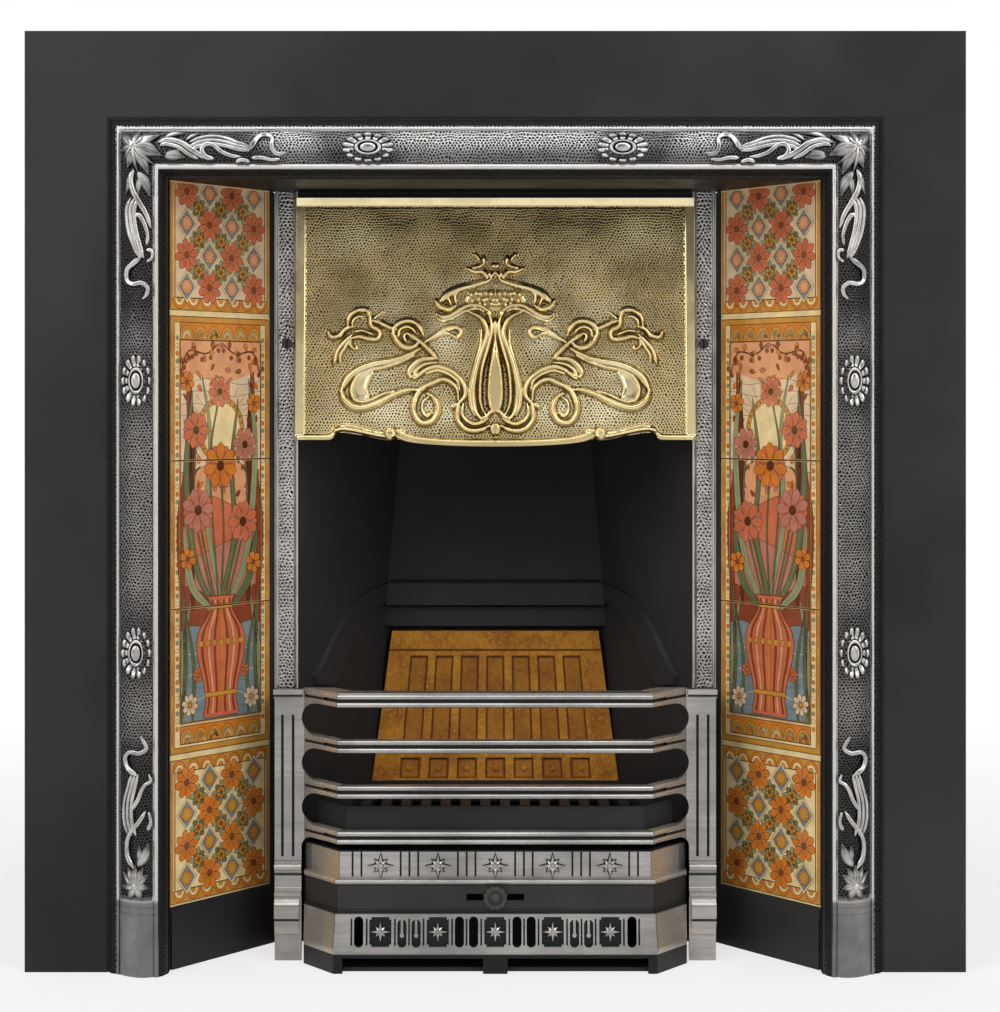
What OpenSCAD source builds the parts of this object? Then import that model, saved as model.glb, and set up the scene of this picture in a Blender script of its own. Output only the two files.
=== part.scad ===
// Cast iron tiled fireplace insert with splayed tile cheeks, a brass canopy,
// lift-off front bars and an ashpan cover. Millimetres, +Z up, X across.
// While it is being drawn, Y = 0 is the front of the flat surround and Y grows
// into the chimney; place() then centres the whole depth on Y = 0.

/* [Tiles] */
// Side of one square glazed tile
tile_size = 152; // [144:1:158]
// Joint left between two tiles
tile_joint = 1.5; // [0.5:0.5:3]
// Thickness of a tile
tile_t = 9.5; // [7:0.5:11]
// Height of the plain skirting below the tiles
skirt_h = 64; // [56:1:72]
// Length of the top tile hidden behind the head plate
tile_hidden = 18.5; // [12:0.5:24]
// Angle between a tile cheek and the front of the surround
splay = 52.5; // [48:0.5:57]
// Width of the lip that holds the inner edge of the tiles
lip_w = 5; // [4:0.5:7]
// How far that lip overlaps the tile
lip_lap = 1.6; // [1:0.2:2.4]

/* [Surround] */
// Flat width from the opening to the outer edge, at the sides
side_band = 148; // [130:1:170]
// Flat width from the opening to the outer edge, at the top
top_band = 152; // [130:1:180]
// Thickness of the flat surround
plate_t = 6; // [5:0.5:9]
// Width of the polished border moulding
border_w = 44.7; // [40:0.5:50]
// Width of the black return inside the border
return_w = 7.8; // [7:0.2:10]
// How far the inner bead stands in front of the flat surround
border_rise = 22; // [18:0.5:26]
// Radius of the border's inner bead
bead_r = 2.5; // [2:0.1:3]
// Width of the slope outside the border
slope_w = 9.7; // [7:0.5:12]
// Height of the plain base at the foot of each border
base_h = 71; // [50:1:90]
// Length of an oval rosette
rosette_l = 56; // [44:1:64]
// Height of the lower rosettes above the hearth
rosette_low_z = 329.5; // [250:0.5:380]
// Distance between the lower and the upper rosettes
rosette_pitch = 276.5; // [220:0.5:290]
// Distance of a top rosette from the middle
rosette_top_x = 129.4; // [90:0.2:170]
// Radius of a hole in a wall lug
lug_hole_r = 4.5; // [3:0.25:6]
// Height of the lower wall lugs
lug_z = 250; // [160:5:320]
// Distance between the lower and the upper wall lugs
lug_pitch = 450; // [300:10:460]

/* [Fire opening] */
// Width between the two pilasters
fire_w = 426; // [400:2:450]
// Width of a pilaster
pilaster_w = 26; // [22:0.5:32]
// Depth of the pilasters behind the front of the surround
recess_y = 132; // [120:1:145]
// Casting thickness of the pilasters and head
frame_t = 6; // [5:0.5:8]
// Height of the slotted canopy screws
screw_z = 648; // [610:1:690]
// Radius of a screw head
screw_head_r = 5.5; // [4.5:0.25:6.5]
// Radius of a screw shank
screw_r = 3; // [2.5:0.25:3.5]

/* [Canopy] */
// Height of the canopy down to its side tabs
canopy_h = 260; // [230:1:290]
// How far the canopy's bottom leans forward
canopy_lean = 22; // [12:1:30]
// Gap between the canopy's top edge and the head plate
canopy_drop = 8.6; // [8:0.2:14]
// Thickness of the canopy sheet
canopy_t = 3; // [2:0.5:4]
// Width of the plain top margin
canopy_top_m = 9; // [6:0.5:14]
// Width of the plain side margins
canopy_side_m = 11; // [7:0.5:16]

/* [Front bars] */
// Number of bars, the top rail included
bar_count = 4; // [3:1:4]
// Height from one bar to the next
bar_pitch = 46.8; // [42:0.2:50]
// Height of one bar
bar_h = 13.3; // [11:0.1:16]
// Depth of a bar
bar_t = 12; // [9:0.5:14]
// Depth of the top rail's flat top
rail_t = 26; // [14:0.5:30]
// Height of the flat top above the rail's beads
rail_rise = 1.4; // [1:0.1:3]
// Underside of the lowest bar
bar_z = 130.5; // [127:0.5:140]
// Distance of the bars' canted corner from the middle
front_hw = 162; // [150:0.5:170]
// Tangent of half the angle by which the canted sides turn back
cant_half = 0.5; // [0.48:0.01:0.54]
// Depth of the upright panels behind the bars
panel_y = 50; // [44:0.5:56]
// Thickness of the upright panels and the canted webs
panel_t = 8; // [6:0.5:10]
// Outer edge of the upright panels from the middle
panel_hw = 231; // [228:0.5:236]
// Width of an upright panel
panel_w = 28; // [24:0.5:32]
// Width of a flute
flute_w = 2.8; // [2:0.2:4]
// Rounding at the top of the ashpan opening
mouth_r = 12; // [8:0.5:16]

/* [Ashpan cover] */
// Height of the ashpan cover
cover_h = 124.3; // [120:0.1:126]
// Height of the plinth
plinth_h = 21; // [18:0.5:24]
// Height of the arches under the plinth
arch_h = 15.8; // [10:0.2:17]
// Gap between the cover and the front bars' uprights
cover_side_gap = 3.3; // [2:0.1:5]
// Width of the middle foot
foot_w = 25; // [16:1:36]
// Width of a through slot
slot_w = 9.4; // [7:0.2:11]
// Height of a through slot
slot_h = 31; // [26:0.5:32]
// Distance between two stars
star_pitch = 58.8; // [54:0.2:61]
// Radius of a star of the upper row
star_r = 12; // [9:0.5:13]

/* [Air slide] */
// Travel of the air slide each way
slide_travel = 26; // [20:1:28]
// Thickness of the air slide
slide_t = 2.5; // [2:0.25:3]
// Radius of the slide's rosette knob
knob_r = 12.75; // [10:0.25:13.5]
// Height of the knob
knob_z = 77; // [74:0.5:78]
// Radius of the knob's stem
stem_r = 3.2; // [2.5:0.1:4]

/* [Firebox] */
// Narrowing of the firebox at each side, per millimetre of depth
fire_taper = 0.475; // [0.4:0.005:0.53]
// Thickness of the firebox walls
wall_t = 8; // [6:0.5:10]
// Depth of the firebox floor behind the surround
fire_y = 285; // [270:1:310]
// Height of the ledge under the firebrick
ledge_z = 150; // [146:1:170]
// Backward lean of the fireback in degrees
back_lean = 9.5; // [6:0.5:12]
// Height of the fireback
back_h = 600; // [560:5:640]
// Underside of the raised band
band_z = 350; // [335:1:380]
// Height of the raised band
band_h = 25; // [18:1:32]
// How far the band stands forward
band_rise = 12; // [8:0.5:16]
// How far the cheeks' shoulder band stands out
shoulder_rise = 6; // [4:0.5:8]

/* [Firebrick] */
// Height of the firebrick
brick_h = 169; // [150:1:172]
// Thickness of the firebrick
brick_t = 26.5; // [22:0.5:32]
// Width of the firebrick's top edge
brick_top_w = 240; // [200:1:250]
// Width of the firebrick's raised rim at its foot
brick_rim = 20; // [14:0.5:22]
// Number of panels
brick_panels = 7; // [5:1:8]
// Distance between two panels
brick_pitch = 33; // [28:0.2:34]

/* [Bottom grate] */
// Underside of the bottom grate
grate_z = 128; // [126:0.5:130]
// Thickness of the bottom grate
grate_t = 12; // [9:0.5:15]
// Height of the upstand above the grate's underside
grate_lip_h = 39; // [30:1:44]
// Distance between two slots of the grate
grate_pitch = 22; // [18:0.5:28]
// Width of a slot of the grate
grate_slot = 11; // [8:0.5:12]

/* [Ash pan] */
// Width of the ash pan
pan_w = 272; // [230:1:276]
// Height of the ash pan
pan_h = 92; // [70:1:100]
// Thickness of the pan's sheet
pan_t = 2; // [1.5:0.25:3]
// Thickness of the floor plate that the pan slides on
floor_t = 4; // [3:0.5:6]

/* [Damper] */
// Width of the flue opening
flue_w = 180; // [140:2:196]
// Length of the flue opening down the slope
flue_l = 130; // [100:2:140]
// Distance of the opening from the hood's top edge
flue_s = 70; // [66:1:80]
// Height of the rim round the flue opening
rim_h = 8; // [6:0.5:10]
// Thickness of the damper flap
flap_t = 5; // [4:0.5:7]
// Radius of the damper's hinge pin
pin_r = 4; // [3:0.25:5]

/* [Fits] */
// Gap between pieces that lie against each other
seat_gap = 0.3; // [0.2:0.05:0.4]
// Radial clearance of a pin in its bore
pin_gap = 0.05; // [0.02:0.01:0.08]

/* [Hidden] */
$fn = 48;
tile_rows = 5;                               // tiles in one column, each a node
far = 400;                                   // longer than any cut needs

// Tile cheeks, in plan: B is the inner end at the pilaster, A the outer end
tile_x = lip_w - lip_lap;
cheek_l = tile_x + tile_size + 0.8;
lip_t = 1.7;
lip_gap = 0.3;
end_gap = 1;
ax = fire_w/2 + pilaster_w + end_gap + cheek_l*cos(splay);
bx = fire_w/2 + pilaster_w + end_gap;
by = recess_y + 0.2;
ay = by - cheek_l*sin(splay);
function cheek_pt(p, q) = [bx + p*cos(splay) + q*sin(splay), by - p*sin(splay) + q*cos(splay)];
pitch = tile_size + tile_joint;
tray_gap = 0.3;
tray_t = 2;

// Surround
open_hw = ax - 0.6;
open_h = skirt_h + tile_rows*pitch - tile_hidden;
outer_hw = open_hw + side_band;
outer_h = open_h + top_band;
seat_y = 6;                                  // the border's seat in front of the flat
wall_y = ay - seat_gap;                      // back edge of the black return
bead_x = return_w + bead_r;
field_x0 = return_w + 2*bead_r;
outer_r = 1.7;
field_x1 = return_w + border_w - 2*outer_r;
rosette_top = border_rise + 5.5;
border_mid = return_w + border_w/2;
lug_t = 8;
lug_x = open_hw + return_w + border_w - 6;
lug_y = 26;
lug_r = 12.5;

// Canopy
canopy_top = open_h - canopy_drop;
canopy_y = recess_y - 10;
canopy_hw = fire_w/2 + 1;
canopy_deg = atan(canopy_lean/canopy_h);
canopy_low = canopy_top - canopy_h;
ear_h = 16;

// Firebox: half width at a depth, and the leaning plane of the fireback
back_y0 = recess_y + frame_t;
function fire_hw(y) = fire_w/2 - fire_taper*(y - back_y0);
lean = tan(back_lean);
function back_y(z) = fire_y + lean*(z - ledge_z);
side_w = 22;                                 // reach of the fireback past the cheeks' faces
pocket_t = brick_t + 0.3;
pocket_top = ledge_z + brick_h + 6;
hood_z = open_h - 8;
hood_run = back_y(back_h) - back_y0;
hood_slope = atan((hood_z - back_h)/hood_run);
hood_t = 6;
back_end_y = back_y(back_h) + wall_t;
grate_ledge = 18;
grate_top = grate_z + grate_t;

// Depth of the whole piece, for the origin
y_front = -rosette_top;
y_back = back_end_y + hood_t*sin(hood_slope);
y_mid = (y_front + y_back)/2;

// Front bars
gap_h = bar_pitch - bar_h;
rail_top = bar_z + (bar_count - 1)*bar_pitch + bar_h;
panel_in = panel_hw - panel_w;               // inner edge of the uprights
slot_cut = 0.4;
slot_r = gap_h/2 + slot_cut;
mouth_z = bar_z - mouth_r + slot_cut;
cant = 2*atan(cant_half);
ca = cos(cant);
sa = sin(cant);
function cant_pt(t, a) = [front_hw + t*ca + a*sa, t*sa - a*ca];
// canted corner of a line that lies g behind the front
function cant_in(g) = [front_hw - cant_half*g, g];
bevel_t = panel_y/sa;
web_t = panel_t + 1;
side_t = 6;

// Cover and slide
cover_hw = panel_in - cover_side_gap;
band_back = 4;                               // back plane of the cover's lower wall
fret_z0 = plinth_h + 0.8;
fret_z1 = 61.8;
slot_z = plinth_h + 6;
slide_y = band_back + seat_gap;
slide_z0 = plinth_h + 3;
slide_z1 = 62;
slide_hw = 74;
slot_xs = [-36.7, -22.2, 22.2, 36.7];
end_slot_x = 139.8;

// Ash pan
pan_y0 = 66;
pan_y1 = fire_y - 7;
pan_z = floor_t + seat_gap;

// Damper, in the hood's own frame: x across, s down the slope, n square to it
pin_s = flue_s - 16;
pin_n = hood_t + 11;
flap_n = hood_t + rim_h + seat_gap;
ear_r = 8;
ear_x = 60;
ear_w = 8;

// ---------- helpers ----------
function arc(cx, cy, r, a0, a1, n = 10) =
    [for (i = [0:n]) [cx + r*cos(a0 + (a1 - a0)*i/n), cy + r*sin(a0 + (a1 - a0)*i/n)]];
function bez(p, n = 10) = [for (i = [0:n]) let (t = i/n, u = 1 - t)
    len(p) == 3 ? u*u*p[0] + 2*u*t*p[1] + t*t*p[2]
                : u*u*u*p[0] + 3*u*u*t*p[1] + 3*u*t*t*p[2] + t*t*t*p[3]];
function lobes(n, r, dip, k = 4) =
    [for (i = [0:k*n - 1]) let (a = 360*i/(k*n)) (r - dip*(1 - abs(sin(n*a/2))))*[cos(a), sin(a)]];
function oval(r, k, n = 20) = [for (i = [0:n - 1]) r*[cos(360*i/n), k*sin(360*i/n)]];
function star(n, r, q) =
    [for (i = [0:2*n - 1]) (i % 2 == 0 ? r : q)*[cos(90 + 180*i/n), sin(90 + 180*i/n)]];

module place() { translate([0, -y_mid, 0]) children(); }
// a drawing in X and Z, given thickness from y0 back to y1
module slab_y(y0, y1) { translate([0, y1, 0]) rotate([90, 0, 0]) linear_extrude(y1 - y0) children(); }
// a drawing in Y and Z, given width from x0 to x1
module slab_x(x0, x1) { translate([x0, 0, 0]) rotate([90, 0, 90]) linear_extrude(x1 - x0) children(); }
module pair() { children(); mirror([1, 0, 0]) children(); }
module rod_x(x0, x1, y, z, r) { translate([x0, y, z]) rotate([0, 90, 0]) cylinder(r = r, h = x1 - x0); }
module rod_y(y0, y1, x, z, r) { translate([x, y0, z]) rotate([-90, 0, 0]) cylinder(r = r, h = y1 - y0); }
module box(a, b) { translate(a) cube(b - a); }
// upright slot with round ends, cut along Y
module round_slot(x, z0, z1, w, y0, y1) {
    box([x - w/2, y0, z0 + w/2], [x + w/2, y1, z1 - w/2]);
    for (z = [z0 + w/2, z1 - w/2]) rod_y(y0, y1, x, z, w/2);
}

// a section drawn as (distance from the opening, depth), run up both sides and
// over the top of the opening with mitred corners
module arch_run(band) {
    r = band + 20;
    pair() intersection() {
        translate([open_hw, 0, 0]) linear_extrude(open_h + r) children();
        slab_y(-60, 60) polygon([[open_hw - 5, 0], [open_hw + r, 0],
            [open_hw + r, open_h + r], [open_hw - 5, open_h - 5]]);
    }
    intersection() {
        translate([open_hw + r, 0, open_h]) rotate([0, -90, 0])
            linear_extrude(2*(open_hw + r)) children();
        slab_y(-60, 60) polygon([[-open_hw + 5, open_h - 5], [-open_hw - r, open_h + r],
            [open_hw + r, open_h + r], [open_hw - 5, open_h - 5]]);
    }
}

// a section drawn as (distance in front, height), run across the front and back
// along both canted sides as far as x_end and y_end
module canted_run(hw, x_end, y_end) {
    k = 60;
    m = [k*cant_half, -k];
    intersection() {
        translate([far, 0, 0]) rotate([90, 0, -90]) linear_extrude(2*far) children();
        linear_extrude(far) polygon([[hw, 0] + m, [hw, 0] - m,
            [m[0] - hw, -m[1]], [-m[0] - hw, m[1]]]);
    }
    pair() intersection() {
        translate([hw, 0, 0]) rotate([0, 0, cant]) translate([far/2, 0, 0])
            rotate([90, 0, -90]) linear_extrude(far) children();
        linear_extrude(far) polygon([[hw, 0] + m, [x_end, m[1]], [x_end, y_end],
            [hw - m[0] - 1, y_end], [hw, 0] - m]);
    }
}

module cheek_frame() { translate([bx, by, 0]) rotate([0, 0, -splay]) children(); }
module hood_frame() { translate([0, back_y0, hood_z]) rotate([-hood_slope, 0, 0]) children(); }
module fire_plan(reach, y0, y1) {
    linear_extrude(2*far + outer_h) polygon([
        [-fire_hw(y0) - reach, y0], [fire_hw(y0) + reach, y0],
        [fire_hw(y1) + reach, y1], [-fire_hw(y1) - reach, y1]]);
}

// ---------- surround ----------
module plate_section() {
    polygon([[0, wall_y], [0, -seat_y], [return_w, 2 - border_rise], [return_w, -seat_y],
        [return_w + border_w, -seat_y], [return_w + border_w + slope_w*0.35, -seat_y*0.55],
        [return_w + border_w + slope_w*0.7, -seat_y*0.12],
        [return_w + border_w + slope_w, 0], [return_w + border_w + slope_w + 3, 0],
        [return_w + border_w + slope_w + 3, plate_t], [return_w + border_w + 4, plate_t],
        [return_w + border_w, 0], [return_w + 5, 0], [plate_t, plate_t], [plate_t, wall_y]]);
}

module surround_plate() color([0.17, 0.16, 0.16]) place() {
    edge = return_w + border_w + slope_w;
    difference() {
        union() {
            slab_y(0, plate_t) difference() {
                translate([-outer_hw, 0]) square([2*outer_hw, outer_h]);
                translate([-open_hw - edge, -1]) square([2*(open_hw + edge), open_h + edge + 1]);
            }
            arch_run(edge + 3) plate_section();
            pair() for (z = [lug_z, lug_z + lug_pitch]) {
                box([lug_x, plate_t - 2, z - lug_r], [lug_x + lug_t, lug_y, z + lug_r]);
                rod_x(lug_x, lug_x + lug_t, lug_y, z, lug_r);
                slab_x(lug_x - 16, lug_x + 1)
                    polygon([[-1, z - 3], [lug_y - 6, z - 3], [lug_y - 6, z + 3], [-1, z + 3]]);
            }
        }
        arch_run(edge + 3) translate([edge, -1]) square([1.5, 2]);
        pair() for (z = [lug_z, lug_z + lug_pitch])
            rod_x(lug_x - 20, lug_x + lug_t + 1, lug_y, z, lug_hole_r);
    }
}

module border_section(d = 0) {
    y_in = d - border_rise + bead_r;
    x_out = return_w + border_w - outer_r;
    polygon(concat(
        [[return_w, -seat_y], [return_w, y_in]],
        arc(bead_x, y_in, bead_r, 180, 360, 10),
        bez([[field_x0 + 0.3, y_in - 0.5], [field_x0 + 15, d - border_rise - 8],
            [field_x1, d - seat_y - 3]], 12),
        arc(x_out, d - seat_y - 2, outer_r, 180, 360, 8),
        [[return_w + border_w, -seat_y]]));
}

// oval rosette: petals, ring and boss, lying in X and Z
module oval_rosette() {
    k = 0.565;
    slab_y(-border_rise - 2, -seat_y - 4)
        polygon([for (p = lobes(12, rosette_l/2, 2.6)) [p[0], k*p[1]]]);
    slab_y(-border_rise - 3.5, -seat_y - 4) polygon(oval(rosette_l*0.33, k*1.05, 20));
    slab_y(-rosette_top, -seat_y - 4) polygon(oval(rosette_l*0.19, k, 16));
}

module border_moulding() color([0.55, 0.55, 0.56]) place() {
    difference() {
        arch_run(return_w + border_w + 3) border_section();
        pair() for (z = [base_h, base_h - 7]) difference() {
            box([open_hw - 1, -border_rise - 8, z - 0.6],
                [open_hw + return_w + border_w + 1, -seat_y - 1, z + 0.6]);
            translate([open_hw, 0, z - 1]) linear_extrude(2) border_section(1);
        }
    }
    pair() {
        for (z = [rosette_low_z, rosette_low_z + rosette_pitch])
            translate([open_hw + border_mid, 0, z]) rotate([0, 90, 0]) oval_rosette();
        translate([rosette_top_x, 0, open_h + border_mid]) oval_rosette();
    }
}

module head_plate() color([0.1, 0.1, 0.1]) place() {
    g = lip_t + 0.1;
    translate([0, 0, open_h]) linear_extrude(frame_t) polygon([[open_hw, wall_y],
        cheek_pt(cheek_l, g), cheek_pt(0, g), [cheek_pt(0, g)[0], back_y0],
        [-cheek_pt(0, g)[0], back_y0], [-cheek_pt(0, g)[0], cheek_pt(0, g)[1]],
        [-cheek_pt(cheek_l, g)[0], cheek_pt(cheek_l, g)[1]], [-open_hw, wall_y]]);
}

// ---------- tile cheeks ----------
module tile_cheek(s) color([0.1, 0.1, 0.1]) place() scale([s, 1, 1]) cheek_frame() {
    leg_y = lip_t + lip_gap + tile_t + tray_gap + tray_t;
    top = open_h - 0.2;
    linear_extrude(top) polygon([[0, 0], [lip_w, 0], [lip_w, lip_t], [tile_x - 0.3, lip_t],
        [tile_x - 0.3, leg_y], [0, leg_y]]);
    slab_x(0, cheek_l - 2) polygon([[-1.5, 0], [lip_t + lip_gap + tile_t, 0],
        [lip_t + lip_gap + tile_t, skirt_h], [lip_t + lip_gap, skirt_h],
        [0, skirt_h - 2], [-1.5, skirt_h - 11]]);
    box([cheek_l - 0.5, 3.5, 0], [cheek_l + 1.5, leg_y, top]);
    box([cheek_l - 3, 3.5, 0], [cheek_l, lip_t + lip_gap + tile_t, skirt_h]);
}
module tile_cheek_left() tile_cheek(-1);
module tile_cheek_right() tile_cheek(1);

module tile_tray(s) color([0.35, 0.35, 0.36]) place() scale([s, 1, 1]) cheek_frame() {
    y0 = lip_t + lip_gap + tile_t + tray_gap;
    box([tile_x, y0, skirt_h - 20], [cheek_l - 0.8, y0 + tray_t, skirt_h + tile_rows*pitch]);
    for (i = [0:tile_rows - 1]) {
        z = skirt_h + (i + 0.5)*pitch;
        box([tile_x + 20, y0 + tray_t - 0.5, z - 12], [cheek_l - 20, y0 + tray_t + 1.5, z + 12]);
    }
}
module tile_tray_left() tile_tray(-1);
module tile_tray_right() tile_tray(1);

module tile(s, i) {
    color(i == 1 || i == tile_rows ? [0.86, 0.62, 0.2] : [0.8, 0.5, 0.36])
        place() scale([s, 1, 1]) cheek_frame()
            translate([tile_x, lip_t + lip_gap, skirt_h + (i - 1)*pitch])
                cube([tile_size, tile_t, tile_size]);
}

// ---------- pilasters, inner head and canopy ----------
module pilaster(s) color([0.5, 0.5, 0.51]) place() scale([s, 1, 1]) {
    x0 = fire_w/2;
    bead = 2;
    top = open_h - 0.2;
    difference() {
        union() {
            translate([x0, recess_y, 0]) linear_extrude(top) polygon(concat(
                [[0, frame_t], [0, -0.5]],
                arc(bead, -0.5, bead, 180, 360, 8),
                [[2*bead + 1, 0]],
                bez([[2*bead + 1.2, -0.2], [pilaster_w/2, -1.6], [pilaster_w - 4.8, -0.2]], 8),
                arc(pilaster_w - 2.4, -0.5, 1.6, 180, 360, 8),
                [[pilaster_w - 0.8, 0], [pilaster_w, 0], [pilaster_w, frame_t]]));
            // upturned lug that the front bars hook into
            slab_x(x0 + 3, x0 + 11) polygon([[recess_y + 1, rail_top - 48],
                [recess_y - 8, rail_top - 48], [recess_y - 15, rail_top - 42],
                [recess_y - 15, rail_top - 26], [recess_y - 9.5, rail_top - 26],
                [recess_y - 9.5, rail_top - 38.5], [recess_y + 1, rail_top - 38.5]]);
        }
        rod_y(recess_y - 5, back_y0 + 1, x0 + pilaster_w*0.48, screw_z, screw_r + 0.3);
        rod_y(recess_y - 5, recess_y - 0.3, x0 + pilaster_w*0.48, screw_z, screw_head_r + 0.5);
    }
}
module pilaster_left() pilaster(-1);
module pilaster_right() pilaster(1);

module inner_head() color([0.1, 0.1, 0.1]) place()
    box([-fire_w/2 + 0.2, recess_y, hood_z], [fire_w/2 - 0.2, back_y0, open_h - 0.2]);

// lower edge of the canopy, from its middle outwards, below the tabs' level
canopy_edge = concat([[0, -7]], bez([[12, -7], [46, -7], [72, -5], [99, -0.8]], 8),
    [[103.5, 0.8], [107, 2.2], [109, 0.6]],
    bez([[111.5, -0.5], [118, -1.5], [130, 3.5], [153, 6.8]], 7),
    [[163, 8], [169, 7.8], [172, 6]], bez([[173.5, 3.5], [174, 1], [177, 0]], 4));

module canopy() color([0.74, 0.62, 0.3]) place() {
    z0 = -canopy_h/cos(canopy_deg);
    k = canopy_hw/214;
    translate([0, canopy_y, canopy_top]) rotate([-canopy_deg, 0, 0]) {
        slab_y(0, canopy_t) polygon(concat(
            [[-canopy_hw, 0], [-canopy_hw, z0]],
            [for (i = [len(canopy_edge) - 1:-1:0]) [-canopy_edge[i][0]*k, z0 + canopy_edge[i][1]]],
            [for (p = canopy_edge) [p[0]*k, z0 + p[1]]],
            [[canopy_hw, z0], [canopy_hw, 0]]));
        // plain raised margins with a chamfer towards the field
        slab_x(-canopy_hw, canopy_hw) polygon([[0.1, 0], [-1.4, 0], [-1.4, 2 - canopy_top_m],
            [0.1, -canopy_top_m]]);
        pair() translate([0, 0, z0 + 1]) linear_extrude(-z0 - 1) polygon([[canopy_hw, 0.1],
            [canopy_hw, -1.4], [canopy_hw - canopy_side_m + 2, -1.4],
            [canopy_hw - canopy_side_m, 0.1]]);
    }
    pair() {
        // side return inside the opening, with the ear that the screw holds
        slab_x(fire_w/2 - 1 - canopy_t, fire_w/2 - 1) polygon([
            [canopy_y - canopy_lean + 2, canopy_low + 4], [back_y0 - 1, canopy_low + 4],
            [back_y0 - 1, canopy_top - 1], [canopy_y + 1, canopy_top - 1]]);
        difference() {
            union() {
                box([fire_w/2 - 1 - canopy_t, back_y0 - 2, screw_z - ear_h/2],
                    [fire_w/2 - 1, back_y0 + seat_gap + 3, screw_z + ear_h/2]);
                box([fire_w/2 - 1 - canopy_t, back_y0 + seat_gap, screw_z - ear_h/2],
                    [fire_w/2 + pilaster_w - 3, back_y0 + seat_gap + 3, screw_z + ear_h/2]);
            }
            rod_y(back_y0 - 3, back_y0 + 9, fire_w/2 + pilaster_w*0.48, screw_z, screw_r + pin_gap);
        }
    }
    box([-fire_w/2 + 1, canopy_y + 1, canopy_top - canopy_t],
        [fire_w/2 - 1, back_y0 - 0.3, canopy_top - 0.2]);
}

module canopy_screw(s) color([0.4, 0.4, 0.41]) place() translate([s*(fire_w/2 + pilaster_w*0.48), 0, 0])
    difference() {
        union() {
            rod_y(recess_y - 1, back_y0 + 5, 0, screw_z, screw_r);
            rod_y(recess_y - 3.5, recess_y - 0.3, 0, screw_z, screw_head_r);
        }
        box([-0.7, recess_y - 5, screw_z - screw_head_r - 1], [0.7, recess_y - 2.3, screw_z + screw_head_r + 1]);
    }
module canopy_screw_left() canopy_screw(-1);
module canopy_screw_right() canopy_screw(1);

// ---------- firebox ----------
// front face of the fireback from the hearth up to the hood, as (depth, height)
back_face = [[fire_y, 0], [fire_y, ledge_z], [fire_y + pocket_t, ledge_z],
    [back_y(pocket_top) + pocket_t, pocket_top], [back_y(pocket_top), pocket_top],
    [back_y(back_h), back_h]];

module firebox_cheek(s) color([0.13, 0.13, 0.13]) place() scale([s, 1, 1]) {
    y_far = back_end_y + 40;
    difference() {
        union() {
            // wall
            intersection() {
                slab_x(0, far) polygon(concat([[back_y0, hood_z], [back_y0, 0]], back_face));
                linear_extrude(outer_h) polygon([[fire_hw(back_y0), back_y0],
                    [fire_hw(back_y0) + wall_t*1.1, back_y0],
                    [fire_hw(y_far) + wall_t*1.1, y_far], [fire_hw(y_far), y_far]]);
            }
            // front flange behind the pilaster
            box([fire_w/2, back_y0, 0], [fire_w/2 + pilaster_w + 4, back_y0 + frame_t, hood_z - 1 - frame_t]);
            // ledge under the grate, run forward through the opening
            intersection() {
                fire_ledge();
                box([0, back_y0 - 1, 0], [far, fire_y, outer_h]);
            }
            box([fire_hw(back_y0) - grate_ledge, panel_y + 36, grate_z - 10],
                [fire_hw(back_y0) - grate_ledge + 12, back_y0 + 1, grate_z]);
            // shoulder band sweeping down from the back
            intersection() {
                slab_x(0, far) polygon(shoulder_pts());
                linear_extrude(outer_h) polygon([[fire_hw(back_y0) - shoulder_rise, back_y0],
                    [fire_hw(back_y0) + 2, back_y0], [fire_hw(y_far) + 2, y_far],
                    [fire_hw(y_far) - shoulder_rise, y_far]]);
            }
        }
        // room for the canopy's ear
        box([fire_w/2 - 2*canopy_t, back_y0 - 1, screw_z - ear_h/2 - 2],
            [fire_w/2 + pilaster_w + 1, back_y0 + frame_t + 0.1, screw_z + ear_h/2 + 2]);
        // room for the canopy's top return
        box([fire_w/2 - 20, back_y0 - 1, canopy_top - canopy_t - 2],
            [fire_w/2 - 0.5, back_y0 + 3, canopy_top + 1]);
    }
}
module fire_ledge() {
    translate([0, 0, grate_z - 10]) linear_extrude(10) polygon([
        [fire_hw(back_y0) - grate_ledge, back_y0], [fire_hw(back_y0) + 2, back_y0],
        [fire_hw(fire_y) + 2, fire_y], [fire_hw(fire_y) - grate_ledge, fire_y]]);
}
function shoulder_pts() =
    let (y0 = back_y0 + 22, yb = back_y(band_z) - band_rise, z0 = band_z - 65, zt = band_z + band_h - 1)
    concat(bez([[y0, z0], [y0 + 34, z0 + 12], [y0 + 54, zt - 2], [yb + 6, zt]], 14),
        bez([[yb + 6, zt - 20], [y0 + 82, zt - 22], [y0 + 66, z0 - 8], [y0 + 34, z0 - 14]], 14),
        [[y0 + 4, z0 - 10]]);

module firebox_cheek_left() firebox_cheek(-1);
module firebox_cheek_right() firebox_cheek(1);

module fireback() color([0.14, 0.14, 0.14]) place() intersection() {
    union() {
        slab_x(-far, far) polygon(concat(back_face, [
            [back_end_y, back_h - wall_t*tan(hood_slope)],
            [back_y(pocket_top + wall_t) + wall_t, pocket_top + wall_t],
            [back_y(pocket_top + wall_t) + pocket_t + wall_t, pocket_top + wall_t],
            [back_y(ledge_z) + pocket_t + wall_t, ledge_z - wall_t],
            [fire_y + wall_t, ledge_z - wall_t], [fire_y + wall_t, 0]]));
        // raised band with chamfered edges, between the cheeks
        intersection() {
            slab_x(-far, far) polygon([[back_y(band_z - 4) + 1, band_z - 4],
                [back_y(band_z) - band_rise, band_z],
                [back_y(band_z + band_h) - band_rise, band_z + band_h],
                [back_y(band_z + band_h + 4) + 1, band_z + band_h + 4]]);
            fire_plan(-shoulder_rise - 0.2, back_y0, back_end_y + 20);
        }
    }
    fire_plan(side_w, back_y0, back_end_y + 40);
}

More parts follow.
